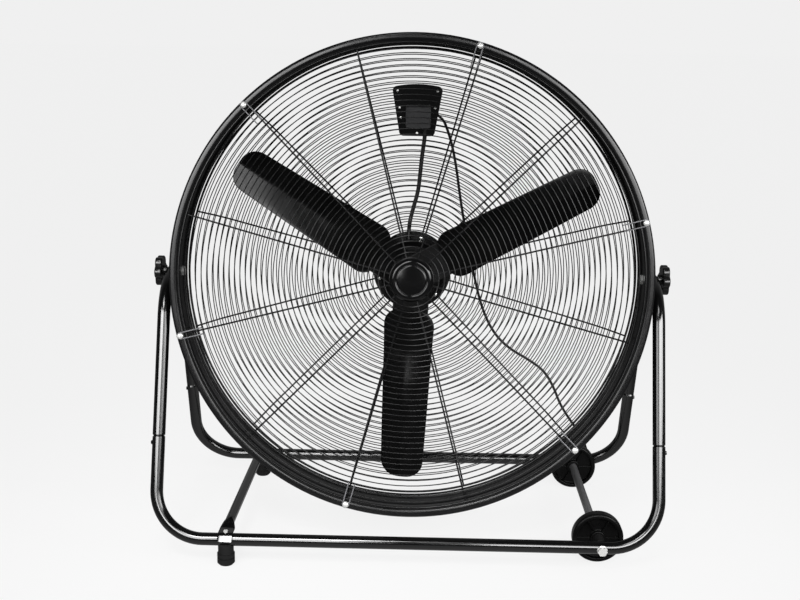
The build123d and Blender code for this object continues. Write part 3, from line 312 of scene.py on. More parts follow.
def grain_of(material, size, detail=3.0, stretch=(1, 1, 1)):
    """Noise with lumps about size metres across, in the piece's own coordinates."""
    tree = material.node_tree
    place = tree.nodes.new("ShaderNodeTexCoord")
    mapping = tree.nodes.new("ShaderNodeMapping")
    noise = tree.nodes.new("ShaderNodeTexNoise")
    mapping.inputs["Scale"].default_value = stretch
    noise.inputs["Scale"].default_value = 1 / size
    noise.inputs["Detail"].default_value = detail
    tree.links.new(place.outputs["Object"], mapping.inputs["Vector"])
    tree.links.new(mapping.outputs["Vector"], noise.inputs["Vector"])
    return noise.outputs["Fac"]


def map_range(tree, value, start, end, low, high):
    """Output that runs from low to high as the value runs from start to end."""
    node = tree.nodes.new("ShaderNodeMapRange")
    sockets = ("From Min", "From Max", "To Min", "To Max")
    for socket, level in zip(sockets, (start, end, low, high)):
        node.inputs[socket].default_value = level
    tree.links.new(value, node.inputs["Value"])
    return node.outputs["Result"]


def colour_ramp(tree, value, start, first, end, last):
    """Output colour that runs from the first at the value start to the last at the end."""
    ramp = tree.nodes.new("ShaderNodeValToRGB")
    for element, position, colour in zip(ramp.color_ramp.elements, (start, end), (first, last)):
        element.position = position
        element.color = (*colour, 1)
    tree.links.new(value, ramp.inputs["Fac"])
    return ramp.outputs["Color"]


def roughness_from(material, shader, grain, low, high):
    """Roughness that runs from low to high with the grain."""
    tree = material.node_tree
    rough = map_range(tree, grain, GRAIN_LOW, GRAIN_HIGH, low, high)
    tree.links.new(rough, shader.inputs["Roughness"])


def colour_from(material, shader, grain, dark, light):
    """Colour that runs from dark to light with the grain."""
    tree = material.node_tree
    colour = colour_ramp(tree, grain, GRAIN_LOW, dark, GRAIN_HIGH, light)
    tree.links.new(colour, shader.inputs["Base Color"])


def bumps_from(material, shader, grain, height, strength):
    """Small bumps, height metres high, that follow the grain."""
    tree = material.node_tree
    bump = tree.nodes.new("ShaderNodeBump")
    bump.inputs["Strength"].default_value = strength
    bump.inputs["Distance"].default_value = height
    tree.links.new(grain, bump.inputs["Height"])
    tree.links.new(bump.outputs["Normal"], shader.inputs["Normal"])


def black_enamel(name, rough, specular, shade):
    """Dark stove enamel: an even coat, with a faint orange peel."""
    material, shader = new_finish(name, (shade, shade, shade * 1.05), rough, specular=specular)
    roughness_from(material, shader, grain_of(material, 0.05), rough * 0.8, rough * 1.25)
    bumps_from(material, shader, grain_of(material, 0.0035, 1.0), 0.00004, 0.25)
    return material


def satin_black(name, rough, dark, light, specular):
    """Satin black paint on sheet: clouded a little, with a fine dust in it."""
    material, shader = new_finish(name, dark, rough, specular=specular)
    colour_from(material, shader, grain_of(material, 0.06), dark, light)
    roughness_from(material, shader, grain_of(material, 0.02), rough * 0.85, rough * 1.2)
    bumps_from(material, shader, grain_of(material, 0.0012, 2.0), 0.00003, 0.3)
    return material


def bright_metal(name, shade, rough, metal=1.0):
    """Plated or turned metal: bright, with fine streaks and a little dulling."""
    material, shader = new_finish(name, (shade, shade, shade * 0.98), rough, metal=metal)
    streaks = grain_of(material, 0.004, 4.0, (1, 1, 3))
    roughness_from(material, shader, streaks, rough * 0.85, rough * 1.25)
    bumps_from(material, shader, grain_of(material, 0.002, 2.0), 0.00001, 0.1)
    return material


def moulded(name, colour, rough, grain=0.0007, height=0.00008, specular=0.5):
    """Moulded plastic or rubber: a fine even grain, and roughness that drifts across it."""
    material, shader = new_finish(name, colour, rough, specular=specular)
    light = tuple(1.35 * c + 0.001 for c in colour)
    colour_from(material, shader, grain_of(material, 0.03), colour, light)
    roughness_from(material, shader, grain_of(material, 0.012), rough * 0.85, rough * 1.15)
    bumps_from(material, shader, grain_of(material, grain, 2.0), height, 0.35)
    return material


GLOSS = black_enamel("gloss_black_tube", rough=0.13, specular=0.8, shade=0.0015)
DRUM = black_enamel("black_drum_enamel", rough=0.22, specular=0.4, shade=0.004)
WIRE = black_enamel("black_wire_enamel", rough=0.25, specular=0.25, shade=0.003)
CASTING = black_enamel("painted_casting", rough=0.25, specular=0.15, shade=0.002)
CLIP = black_enamel("dull_clip_wire", rough=0.35, specular=0.5, shade=0.11)
CAP = black_enamel("cap_gloss", rough=0.1, specular=0.4, shade=0.002)
BLADE = satin_black("satin_black_blade", 0.22, (0.0008,) * 3, (0.0016,) * 3, specular=0.2)
CHROME = bright_metal("bright_plating", shade=0.8, rough=0.2, metal=0.6)
STEEL = bright_metal("turned_steel", shade=0.55, rough=0.28)
WHEEL = moulded("wheel_moulding", (0.001,) * 3, rough=0.32, specular=0.12)
KNOB = moulded("knob_moulding", (0.003,) * 3, rough=0.24)
PLASTIC = moulded("black_moulding", (0.005,) * 3, rough=0.42, specular=0.25)
GREY = moulded("dark_grey_moulding", (0.018, 0.018, 0.019), rough=0.5, specular=0.3)
FOOT = moulded("foot_rubber", (0.004,) * 3, rough=0.62, grain=0.001, height=0.00015, specular=0.2)
CORD = moulded("cord_sheath", (0.005,) * 3, rough=0.45, grain=0.0015, height=0.00006, specular=0.3)
PAINT = moulded("spacer_tube_paint", (0.055, 0.055, 0.056), rough=0.35)

NODE_FINISH = {
    "black_paint": GLOSS,
    "drum_paint": DRUM,
    "wire_paint": WIRE,
    "blade_paint": BLADE,
    "plated_steel": CHROME,
    "steel": STEEL,
    "motor_alloy": CASTING,
    "black_plastic": PLASTIC,
    "grey_plastic": GREY,
    "cap_plastic": CAP,
    "foot_rubber": FOOT,
    "cord_rubber": CORD,
}
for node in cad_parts.values():
    for seat in node.material_slots:
        for slot_name, finish in NODE_FINISH.items():
            if seat.material and seat.material.name.startswith(slot_name):
                seat.material = finish
                break

# ---------------------------------------------------------------- mains lead
LEAD_ROUTE = np.array(
    [
        (0.0483, 0.1615, 0.8910),
        (0.0622, 0.1622, 0.8830),
        (0.0732, 0.1680, 0.8580),
        (0.0840, 0.1730, 0.8250),
        (0.0952, 0.1800, 0.7750),
        (0.1048, 0.1900, 0.7120),
        (0.1180, 0.1980, 0.6400),
        (0.1341, 0.2009, 0.5680),
        (0.1489, 0.2030, 0.4980),
        (0.1669, 0.2040, 0.4360),
        (0.1942, 0.2040, 0.3820),
        (0.2318, 0.2050, 0.3450),
        (0.2799, 0.2081, 0.3180),
        (0.3180, 0.2120, 0.2900),
        (0.3420, 0.2180, 0.2500),
        (0.3600, 0.2260, 0.2050),
        (0.3849, 0.2360, 0.1650),
        (0.4101, 0.2510, 0.1300),
        (0.4290, 0.2660, 0.0960),
        (0.4410, 0.2800, 0.0620),
        (0.4462, 0.2901, 0.0370),
        (0.4490, 0.3000, 0.0180),
        (0.4490, 0.3110, 0.0070),
        (0.4490, 0.3220, 0.0030),
        (0.4490, 0.3320, 0.0030),
    ]
)
COIL_X, COIL_Y = 0.407, 0.338
CORD_RADIUS = 0.003
LAYER_RISE = 0.0067
LEAD_OUT = 0.028
# How far the wound turns reach from the coil's middle, at each half turn.
TURN_REACH = np.array([42, 38.65, 35.3, 31.95, 28.6, 25.25, 35.3, 38.65, 42]) / 1000
PLUG_START = np.array([COIL_X + TURN_REACH[-1], COIL_Y + LEAD_OUT, CORD_RADIUS + LAYER_RISE])


def coil_turns(steps=8):
    """Control points of the wound turns. Each half turn goes round the middle of its two
    ends with half their distance as its radius, and the fifth one climbs a layer."""
    share = np.arange(steps * 8) / steps + 0.5 / steps
    half = share.astype(int)
    side = np.where(half % 2 == 0, 1, -1)
    middle = COIL_X + side * (TURN_REACH[half] - TURN_REACH[half + 1]) / 2
    radius = (TURN_REACH[half] + TURN_REACH[half + 1]) / 2 / cos(pi / steps / 2)
    angle = share * pi
    climb = np.clip(share - 4, 0, 1)
    return np.stack(
        [
            middle + radius * np.cos(angle),
            COIL_Y + radius * np.sin(angle),
            CORD_RADIUS + LAYER_RISE * climb,
        ],
        -1,
    )


def drawn(name, controls):
    """Points along the smooth spline that has these control points."""
    curve = bpy.data.curves.new(name, "CURVE")
    curve.dimensions = "3D"
    curve.resolution_u = 6
    spline = curve.splines.new("NURBS")
    spline.points.add(len(controls) - 1)
    spline.points.foreach_set("co", np.column_stack([controls, np.ones(len(controls))]).ravel())
    spline.order_u = 3
    spline.use_endpoint_u = True
    holder = bpy.data.objects.new(name, curve)
    mesh = bpy.data.meshes.new_from_object(holder)
    points = np.empty(len(mesh.vertices) * 3)
    mesh.vertices.foreach_get("co", points)
    bpy.data.objects.remove(holder)
    bpy.data.curves.remove(curve)
    bpy.data.meshes.remove(mesh)
    return points.reshape(-1, 3)


tail = [PLUG_START - [0, back, 0] for back in (LEAD_OUT, 0.012, 0)]
lead_path = drawn("mains_lead_route", np.concatenate([LEAD_ROUTE, coil_turns(), tail]))
mains_lead = piece(
    "mains_lead",
    None,
    CORD,
    "cord_rubber",
    tube(lead_path, CORD_RADIUS, 12),
    nodes=("mains_cord", "cord_coil"),
)
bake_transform(mains_lead)


def plug_shapes():
    """Moulded plug along the way to the back: a rounded body and a tapered ribbed neck, and
    two round pins."""
    neck_length, rib_count = 0.0165, 5
    body = slab(round_box(0.034, 0.0192, 0.006), low=0.016, high=0.052, edge=0.0025)
    along = np.linspace(0, 1, 33)
    ribs = 0.0006 * np.sign(np.sin(along * 2 * pi * rib_count)) * (along > 0.1)
    neck = np.column_stack([0.0045 + 0.0022 * along + ribs, neck_length * along])
    neck = turned(np.concatenate([[(0, 0)], neck, [(0, neck_length)]]), 20)
    pin = turned([(0, 0.05), (0.0022, 0.05), (0.0022, 0.069), (0.0016, 0.071), (0, 0.071)], 16)
    pins = [moved(pin, x, 0) for x in (-0.0095, 0.0095)]
    place = (PLUG_START, -ACROSS, UP, BACK)
    return [[put(shape, place) for shape in shapes] for shapes in ((body, neck), pins)]


plug_body, plug_pins = plug_shapes()
plug = piece("plug_body", "stand", CORD, "cord_rubber", *plug_body, nodes=("plug",))
pins = piece("plug_pins", "stand", CHROME, "plated_steel", *plug_pins)

# Short lead from the switch's box down to the motor.
MOTOR_ROUTE = np.array(
    [
        (0.0230, 0.1285, 0.8636),
        (0.0230, 0.1301, 0.8446),
        (0.0180, 0.1353, 0.8084),
        (0.0144, 0.1389, 0.7667),
        (0.0108, 0.1426, 0.7229),
        (0.0000, 0.1460, 0.6834),
        (-0.0072, 0.1486, 0.6527),
        (-0.0090, 0.1264, 0.6333),
        (-0.0090, 0.1243, 0.6155),
    ]
)
MOTOR_LEAD_RADIUS = 0.0045
motor_path = drawn("motor_lead_route", MOTOR_ROUTE)
motor_lead = piece(
    "motor_lead_sheath",
    "head",
    CORD,
    "cord_rubber",
    tube(motor_path, MOTOR_LEAD_RADIUS, 14),
    nodes=("motor_lead",),
)


# ---------------------------------------------------------------- stand
def floor_tube_path(end):
    """A floor tube's middle line: leg, bend, rail, bend, leg. End is -1 front, 1 rear."""
    joint, rail = end * JOINT_Y, end * RAIL_Y
    corners = [
        (-HOOP_X, joint, JOINT_Z),
        (-HOOP_X, rail, RAIL_Z),
        (HOOP_X, rail, RAIL_Z),
        (HOOP_X, joint, JOINT_Z),
    ]
    return bent_route(corners, RAIL_BEND)


def hoop_path(side):
    """A side hoop's middle line: a leaning leg, an arch about the point under the pivot, and
    the other leg."""
    angle = np.linspace(pi - LEAN, LEAN, 61)
    arch = np.column_stack([ARCH * np.cos(angle), ARCH_Z + ARCH * np.sin(angle)])
    line = np.concatenate([[(-JOINT_Y, JOINT_Z)], arch, [(JOINT_Y, JOINT_Z)]])
    return np.column_stack([np.full(len(line), side * HOOP_X), line])


for end, place in ((-1, "front"), (1, "rear")):
    piece(
        f"{place}_floor_rail",
        "stand",
        GLOSS,
        "black_paint",
        tube(floor_tube_path(end), TUBE_RADIUS, TUBE_SIDES, JOINT_EASE),
        nodes=(f"{place}_floor_tube",),
    )
for side, place in ((-1, "left"), (1, "right")):
    piece(
        f"{place}_hoop",
        "stand",
        GLOSS,
        "black_paint",
        tube(hoop_path(side), TUBE_RADIUS, TUBE_SIDES, JOINT_EASE),
        nodes=(f"{place}_side_hoop",),
    )


def flattened(path, across, half_width, half_height, roundness, sides=32):
    """A tube pressed flat towards its ends. Its section is width cos and height sin, each to
    the power 2 over the roundness: 2 gives a round, and more gives a flat bar."""
    angle = np.linspace(0, 2 * pi, sides, endpoint=False)[None, :]
    power = 2 / roundness[:, None]
    wide, high = (
        np.sign(wave) * np.abs(wave) ** power * half[:, None]
        for wave, half in ((np.cos(angle), half_width), (np.sin(angle), half_height))
    )
    above = unit(np.cross(across, np.gradient(path, axis=0)))
    grid = path[:, None] + wide[..., None] * across + high[..., None] * above[:, None]
    return woven(grid, ends=True)


def brace_shape():
    """The brace between the floor rails. Its middle line runs level, drops onto each rail
    over the flattening, lies on the rail's top and bends down over its front: the corner is
    where the top and a face that leans 52 degrees both touch the rail."""
    ends = np.array([[-0.369, -RAIL_Y, 0], [-0.358, RAIL_Y, 0]])
    level, seat, drop = 0.019, 0.0147, 0.0168
    lean = radians(38)
    along = unit(ends[0] - ends[1])
    middle = ends.mean(axis=0)
    half = np.linalg.norm(ends[0] - ends[1]) / 2
    corner = half + seat * (1 - sin(lean)) / cos(lean)
    line = RAIL_Z * np.array([0, 1]) + [
        (0, level),
        (half - 0.047, level),
        (half - 0.017, seat),
        (corner, seat),
        (corner + drop * sin(lean), seat - drop * cos(lean)),
    ]
    line = softened(line, setback=[0, 0.012, 0.008, 0.005, 0], steps=8)
    line = np.concatenate([line[::-1] * [-1, 1], line[1:]])
    path = middle + line[:, :1] * along + line[:, 1:] * UP
    flat = np.clip((np.abs(line[:, 0]) - (half - 0.050)) / 0.032, 0, 1)
    flat = flat * flat * (3 - 2 * flat)
    across = unit(np.cross(along, UP))
    return flattened(path, across, 0.010 + 0.0055 * flat, 0.010 - 0.0085 * flat, 2 + 5 * flat)


piece(
    "floor_brace",
    "stand",
    GLOSS,
    "black_paint",
    brace_shape(),
    nodes=("cross_brace",),
    crease=60,
)


# ---------------------------------------------------------------- drum
def drum_profile():
    """Section of the drum, radius and reach ahead of the pivot: rolled front lip, flange,
    step, wall with a pressed bead, and a rear lip turned in."""
    outer = [
        (0.4835, 0.1105),
        (0.4845, 0.1165),
        (0.4890, 0.1180),
        (0.4960, 0.1180),
        (0.5000, 0.1150),
        (0.5000, 0.1045),
        (0.4972, 0.1005),
        (0.4965, 0.0960),
        (0.4965, 0.0400),
        (0.4995, 0.0350),
        (0.4995, 0.0310),
        (0.4965, 0.0260),
        (0.4965, -0.0290),
        (0.4945, -0.0310),
        (0.4890, -0.0310),
    ]
    inner = [
        (0.4890, -0.0295),
        (0.4935, -0.0295),
        (0.4950, -0.0280),
        (0.4950, 0.0265),
        (0.4978, 0.0315),
        (0.4978, 0.0345),
        (0.4950, 0.0395),
        (0.4950, 0.0965),
        (0.4958, 0.1012),
        (0.4985, 0.1052),
        (0.4985, 0.1142),
        (0.4955, 0.1165),
        (0.4895, 0.1165),
        (0.4858, 0.1155),
        (0.4850, 0.1105),
    ]
    return softened(outer + inner, setback=0.0014, steps=2, loop=True)


piece(
    "drum_ring",
    "head",
    DRUM,
    "drum_paint",
    put(turned(drum_profile(), 180, loop=True), FAN),
    nodes=("drum_shell",),
)


# ---------------------------------------------------------------- grilles
def wire_rings(radii, reaches, thick, around=128, sides=8):
    """Wires bent into rings: (radius + thick cos) round the axis, reach + thick sin ahead."""
    radii = np.asarray(radii, float)[:, None, None]
    reaches = np.asarray(reaches, float)[:, None, None]
    turn = np.linspace(0, 2 * pi, around, endpoint=False)[None, :, None]
    wrap = np.linspace(0, 2 * pi, sides, endpoint=False)[None, None, :]
    radius = radii + thick * np.cos(wrap)
    reach = reaches + thick * np.sin(wrap) + 0 * turn
    return woven(np.stack([radius * np.cos(turn), radius * np.sin(turn), reach], -1), along=True)


RING_PITCH = 0.0114
RING_WIRE = 0.00105
SPOKE_WIRE = 0.0018
RIM_WIRE = 0.0025
# Front guard: its rings lie in one plane, over the spokes.
FRONT_RINGS = 38
FRONT_INNER = 0.0452
FRONT_REACH = 0.1164
FRONT_SPOKE = 0.1131
# Each front spoke stands a little off its even place, as a hand-welded one does.
ASKEW = np.radians([-0.8, -0.25, -1.0, -0.4, -0.7, 0, -0.2, 0.5, -0.2, 0, -0.4, 0])
front_radii = FRONT_INNER + RING_PITCH * np.arange(FRONT_RINGS)
spoke = tube([(radius, 0, FRONT_SPOKE) for radius in (0.018, 0.250, 0.482)], SPOKE_WIRE, 10)
front_wires = joined(
    wire_rings(front_radii, np.full(FRONT_RINGS, FRONT_REACH), RING_WIRE),
    wire_rings([0.480], [0.1155], RIM_WIRE, around=180, sides=12),
    *[spun(spoke, 1, turn) for turn in SPOKE_TURN + np.arange(12) * pi / 6 + ASKEW],
)
piece("front_guard", "head", WIRE, "wire_paint", put(front_wires, FAN), nodes=("front_grille",))

# Rear guard: radius and reach behind the pivot, at the rim, the knee and the cone's foot.
RIM, RIM_REACH, RIM_WIRE_REACH = 0.4855, 0.031, 0.0335
KNEE, KNEE_REACH = 0.438, 0.078
CONE_FOOT, FOOT_REACH = 0.0926, 0.150
SLOPE = (FOOT_REACH - KNEE_REACH) / (KNEE - CONE_FOOT)
REAR_RINGS = 34
REAR_INNER = 0.0985


def pan_reach(radius):
    """How far the rear wires lie behind the pivot at a radius: a steep wall outside the
    knee, and a shallow cone inside it."""
    radius = np.asarray(radius, float)
    wall = RIM_REACH + (RIM - radius) / (RIM - KNEE) * (KNEE_REACH - RIM_REACH)
    cone = KNEE_REACH + (KNEE - radius) * SLOPE
    return np.where(radius > KNEE, wall, cone)


rear_radii = REAR_INNER + RING_PITCH * np.arange(REAR_RINGS)
spoke_line = [
    (RIM, 0, -RIM_WIRE_REACH),
    (KNEE, 0, -KNEE_REACH),
    (CONE_FOOT, 0, -FOOT_REACH),
    (0.078, 0, -FOOT_REACH),
]
rear_spoke = tube(softened(spoke_line, setback=0.02, steps=6), SPOKE_WIRE, 10)
rear_wires = joined(
    wire_rings(rear_radii, -pan_reach(rear_radii) + SPOKE_WIRE + RING_WIRE, RING_WIRE),
    wire_rings([RIM], [-RIM_WIRE_REACH], RIM_WIRE, around=180, sides=12),
    spun(rear_spoke, 12, SPOKE_TURN),
)
piece("rear_guard", "head", WIRE, "wire_paint", put(rear_wires, FAN), nodes=("rear_grille",))


CLIP_SCREW, CLIP_END = 0.4915, 0.4445
CLIP_HALF = 0.0065
CLIP_REACH = 0.1193
CLIP_WIRE = 0.0013
MOTOR_SCREW = 0.076


def clip_line():
    """A hairpin: two straight legs joined by half a circle round the screw."""
    angle = np.linspace(-pi / 2, pi / 2, 17)
    bend = [CLIP_SCREW + CLIP_HALF * np.cos(angle), CLIP_HALF * np.sin(angle)]
    legs = [[(CLIP_END, side * CLIP_HALF)] for side in (-1, 1)]
    line = np.concatenate([legs[0], np.column_stack(bend), legs[1]])
    return np.column_stack([line, np.full(len(line), CLIP_REACH)])


piece(
    "guard_clips",
    "head",
    CLIP,
    "wire_paint",
    put(spun(tube(clip_line(), CLIP_WIRE, 10), 6, SPOKE_TURN), FAN),
    nodes=("clip_wires",),
)
clip_head = dome(radius=0.0063, height=0.0042, sides=28, seat=0.1206)
motor_head = dome(radius=0.0045, height=0.003, sides=24, seat=-0.1367)
for name, node, head, place in (
    ("clip_screw_heads", "clip_screws", clip_head, CLIP_SCREW),
    ("motor_screw_heads", "motor_screws", motor_head, MOTOR_SCREW),
):
    piece(
        name,
        "head",
        CHROME,
        "plated_steel",
        put(spun(moved(head, place, 0), 6, SPOKE_TURN), FAN),
        nodes=(node,),
    )

# ---------------------------------------------------------------- front cap
cap_line = softened(
    [
        (0, 0.1171),
        (0.0450, 0.1171),
        (0.0450, 0.1215),
        (0.0425, 0.1262),
        (0.0385, 0.1290),
        (0.0330, 0.1290),
        (0.0310, 0.1268),
        (0.0290, 0.1286),
        (0, 0.1290),
    ],
    setback=0.0016,
    steps=5,
)
piece(
    "guard_cap",
    "head",
    CAP,
    "cap_plastic",
    put(turned(cap_line, 96), FAN),
    nodes=("front_cap",),
)


# ---------------------------------------------------------------- blades
BLADE_ROOT, BLADE_FLAT, BLADE_TIP = 0.076, 0.165, 0.438
ROOT_CHORD, CHORD_LOSS = 0.124, 0.032
BLADE_CORNER = 0.034
BLADE_CREASE = 0.007
BLADE_SEAT = 0.012
HALF_SHEET = 0.001


def blade_shape(rows=70, columns=41):
    """A pressed blade. Along it, share runs from root to tip and the chord narrows; near each
    end the chord closes as a rounded corner. Across it, the sheet rises to a crease in the
    middle, and beyond the flat root it twists from 27 to 15 degrees. The two faces are the
    same sheet half a thickness either way, and they meet at the long edges."""
    share = ((1 - np.cos(np.linspace(0, pi, rows))) / 2)[:, None]
    reach = BLADE_ROOT + share * (BLADE_TIP - BLADE_ROOT)
    full = (ROOT_CHORD - share * CHORD_LOSS) / 2
    from_root = np.clip((reach - BLADE_ROOT) / BLADE_CORNER, 0, 1)
    from_tip = np.clip((BLADE_TIP - reach) / BLADE_CORNER, 0, 1)
    closing = BLADE_CORNER * (1 - np.sqrt(1 - (1 - from_root) ** 2))
    closing = closing + BLADE_CORNER * (1 - np.sqrt(1 - (1 - from_tip) ** 2))
    across = np.sin(np.linspace(-pi / 2, pi / 2, columns))[None, :]
    chord = (full - closing) * across
    twist = np.clip((reach - BLADE_FLAT) / (BLADE_TIP - BLADE_FLAT), 0, 1)
    pitch = radians(27) - radians(12) * twist
    rise = BLADE_CREASE * np.clip(twist * 4, 0, 1) * (1 - np.abs(chord) / full)
    sheet = HALF_SHEET * np.sqrt(np.clip(1 - across**8, 0, 1))
    top = rise + HALF_SHEET + sheet
    under = rise + HALF_SHEET - sheet
    chord = np.concatenate([chord, chord[:, -2:0:-1]], 1)
    height = np.concatenate([top, under[:, -2:0:-1]], 1)
    x = np.broadcast_to(reach, chord.shape)
    y = chord * np.cos(pitch) - height * np.sin(pitch)
    z = BLADE_SEAT + chord * np.sin(pitch) + height * np.cos(pitch)
    return woven(np.stack([x, y, z], -1), ends=True)


for number in range(3):
    turn = BLADE_TURN + number * 2 * pi / 3
    piece(
        f"fan_blade_{number + 1}",
        "rotor",
        BLADE,
        "blade_paint",
        put(spun(blade_shape(), 1, turn), FAN),
        nodes=(f"blade_{number + 1}",),
        crease=50,
    )


# ---------------------------------------------------------------- wheels
def wheel_shape():
    """Wheel about the z axis: a rim and hub joined by a thin web, edges rounded, and six
    ribs from hub to rim."""
    half, web = 0.013, 0.005
    side = [
        (0.0062, half),
        (0.0150, half),
        (0.0155, web),
        (0.0430, web),
        (0.0440, half),
        (0.0500, half),
        (0.0530, half - 0.003),
    ]
    profile = side + [(radius, -height) for radius, height in side[::-1]]
    profile = softened(profile, setback=0.0016, steps=3, loop=True)
    ring = turned(profile, 96, loop=True)
    outline = round_box(0.032, 0.003, 0.001, 2) + [0.029, 0]
    rib = slab(outline, low=-0.010, high=0.010, edge=0.0006, steps=2)
    return joined(ring, spun(rib, 6))


# The wheels' middles, and the cover tube's two ends on the axle.
WHEEL_Y = {"front": -0.194, "rear": 0.216}
SPACER_Y = (-0.1807, 0.2027)
for end, place in ((-1, "front"), (1, "rear")):
    seat = (np.array([AXLE_X, WHEEL_Y[place], RAIL_Z]), ACROSS, -end * UP, end * BACK)
    piece(
        f"{place}_wheel_tyre",
        f"{place}_wheel",
        WHEEL,
        "black_plastic",
        put(wheel_shape(), seat),
        nodes=(f"{place}_wheel",),
    )

spacer_line = [(AXLE_X, back, RAIL_Z) for back in (SPACER_Y[0], 0, SPACER_Y[1])]
spacer = tube(spacer_line, radius=0.009, sides=32, edge=0.0006)
piece("axle_cover_tube", "stand", PAINT, "black_paint", spacer, nodes=("axle_spacer_tube",))


# ---------------------------------------------------------------- knobs
LOBE_REACH, LOBE_RADIUS = 0.021, 0.012
KNOB_HUB, KNOB_TIP = 0.026, 0.033
KNOB_X = 0.5338


def star_outline(points=180):
    """Six round lobes round a hub: each lobe's edge is where a line at this angle leaves a
    circle of 12 mm at 21 mm, blended into the hub's 26 mm by the root of the mean of their
    16th powers, grown by 4.4 % and cut off at 33 mm."""
    angle = np.linspace(0, 2 * pi, points, endpoint=False)
    off = (angle + pi / 6) % (pi / 3) - pi / 6
    lobe = LOBE_REACH * np.cos(off) + np.sqrt(LOBE_RADIUS**2 - (LOBE_REACH * np.sin(off)) ** 2)
    radius = (lobe**16 / 2 + KNOB_HUB**16 / 2) ** (1 / 16) * 1.044
    radius = np.minimum(radius, KNOB_TIP)
    return np.stack([radius * np.cos(angle), radius * np.sin(angle)], -1)


grip = slab(star_outline(), low=0, high=0.015, edge=0.003, steps=5)
collar_line = [(0, -0.0059), (0.0115, -0.0059), (0.012, -0.0054), (0.012, 0.001), (0, 0.001)]
collar = turned(collar_line, 40)
for side, place in ((-1, "left"), (1, "right")):
    seat = (PIVOT + side * KNOB_X * ACROSS, side * BACK, UP, side * ACROSS)
    piece(
        f"{place}_star_knob",
        f"{place}_knob",
        KNOB,
        "black_plastic",
        put(joined(grip, collar), seat),
        nodes=(f"{place}_tilt_knob",),
    )

# ---------------------------------------------------------------- switch
SWITCH_LEAN = atan(SLOPE)
SWITCH_X, SWITCH_RADIUS = 0.005, 0.353
SWITCH = (
    PIVOT + SWITCH_X * ACROSS + SWITCH_RADIUS * UPWARD - pan_reach(SWITCH_RADIUS) * AHEAD,
    ACROSS,
    UPWARD * cos(SWITCH_LEAN) + AHEAD * sin(SWITCH_LEAN),
    AHEAD * cos(SWITCH_LEAN) - UPWARD * sin(SWITCH_LEAN),
)
PLATE_FACE = 0.0054
PLATE_SCREWS = (
    (-0.044, 0.046),
    (0.044, 0.046),
    (-0.039, 0.009),
    (0.039, 0.009),
    (-0.036, -0.013),
    (0, -0.047),
)
screw_head = dome(radius=0.0030, height=0.0018, sides=24, seat=PLATE_FACE)
piece(
    "plate_screw_heads",
    "head",
    CHROME,
    "plated_steel",
    *[put(moved(screw_head, *spot), SWITCH) for spot in PLATE_SCREWS],
    nodes=("switch_screws",),
)

# ---------------------------------------------------------------- floor, light and camera
FLOOR_REACH = 60.0
FLOOR_GLOW = 0.83
BACKDROP = 0.871
FILL = 0.38
FILM, LENS = 36.0, 53.1
CAMERA_PLACE = (0.0092, -2.4848, 1.0767)


def math_node(tree, work, first, second):
    """Output of a node that works on two values; the second may be a plain number."""
    node = tree.nodes.new("ShaderNodeMath")
    node.operation = work
    tree.links.new(first, node.inputs[0])
    if isinstance(second, float):
        node.inputs[1].default_value = second
    else:
        tree.links.new(second, node.inputs[1])
    return node.outputs[0]


def ray_kinds(tree):
    """Two outputs, each 1 for its own rays and 0 for the rest: those straight from the eye,
    and those by way of a reflection or a clear body."""
    path = tree.nodes.new("ShaderNodeLightPath").outputs
    mirrored = math_node(tree, "MAXIMUM", path["Is Glossy Ray"], path["Is Transmission Ray"])
    return path["Is Camera Ray"], mirrored


def floor_finish():
    """Pale paper: part of its colour is its own to the eye and in reflections, so that it
    stays even, and part is lit, so that the fan's shadow shows. In reflections it dims away
    from the fan."""
    material, shader = new_finish("pale_floor", (0.08,) * 3, 1.0, specular=0.0)
    tree = material.node_tree
    place = tree.nodes.new("ShaderNodeTexCoord")
    away = tree.nodes.new("ShaderNodeVectorMath")
    away.operation = "LENGTH"
    tree.links.new(place.outputs["Object"], away.inputs[0])
    near = map_range(tree, away.outputs["Value"], start=0.45, end=0.85, low=0.35, high=0.04)
    seen, mirrored = ray_kinds(tree)
    mirrored = math_node(tree, "MULTIPLY", mirrored, near)
    level = math_node(tree, "MAXIMUM", seen, mirrored)
    level = math_node(tree, "MULTIPLY", level, FLOOR_GLOW)
    shader.inputs["Emission Color"].default_value = (1, 1, 1, 1)
    tree.links.new(level, shader.inputs["Emission Strength"])
    return material


def floor_sheet():
    """A large flat sheet just under the feet."""
    mesh = bpy.data.meshes.new("floor")
    corners = np.array([(-1, -1, 0), (1, -1, 0), (1, 1, 0), (-1, 1, 0)]) * FLOOR_REACH
    mesh.from_pydata(corners, [], [(0, 1, 2, 3)])
    mesh.materials.append(floor_finish())
    made = bpy.data.objects.new("floor", mesh)
    bpy.context.scene.collection.objects.link(made)


def background(tree, shade, strength):
    """A plain grey background shader."""
    node = tree.nodes.new("ShaderNodeBackground")
    node.inputs["Color"].default_value = (shade, shade, shade, 1)
    node.inputs["Strength"].default_value = strength
    return node


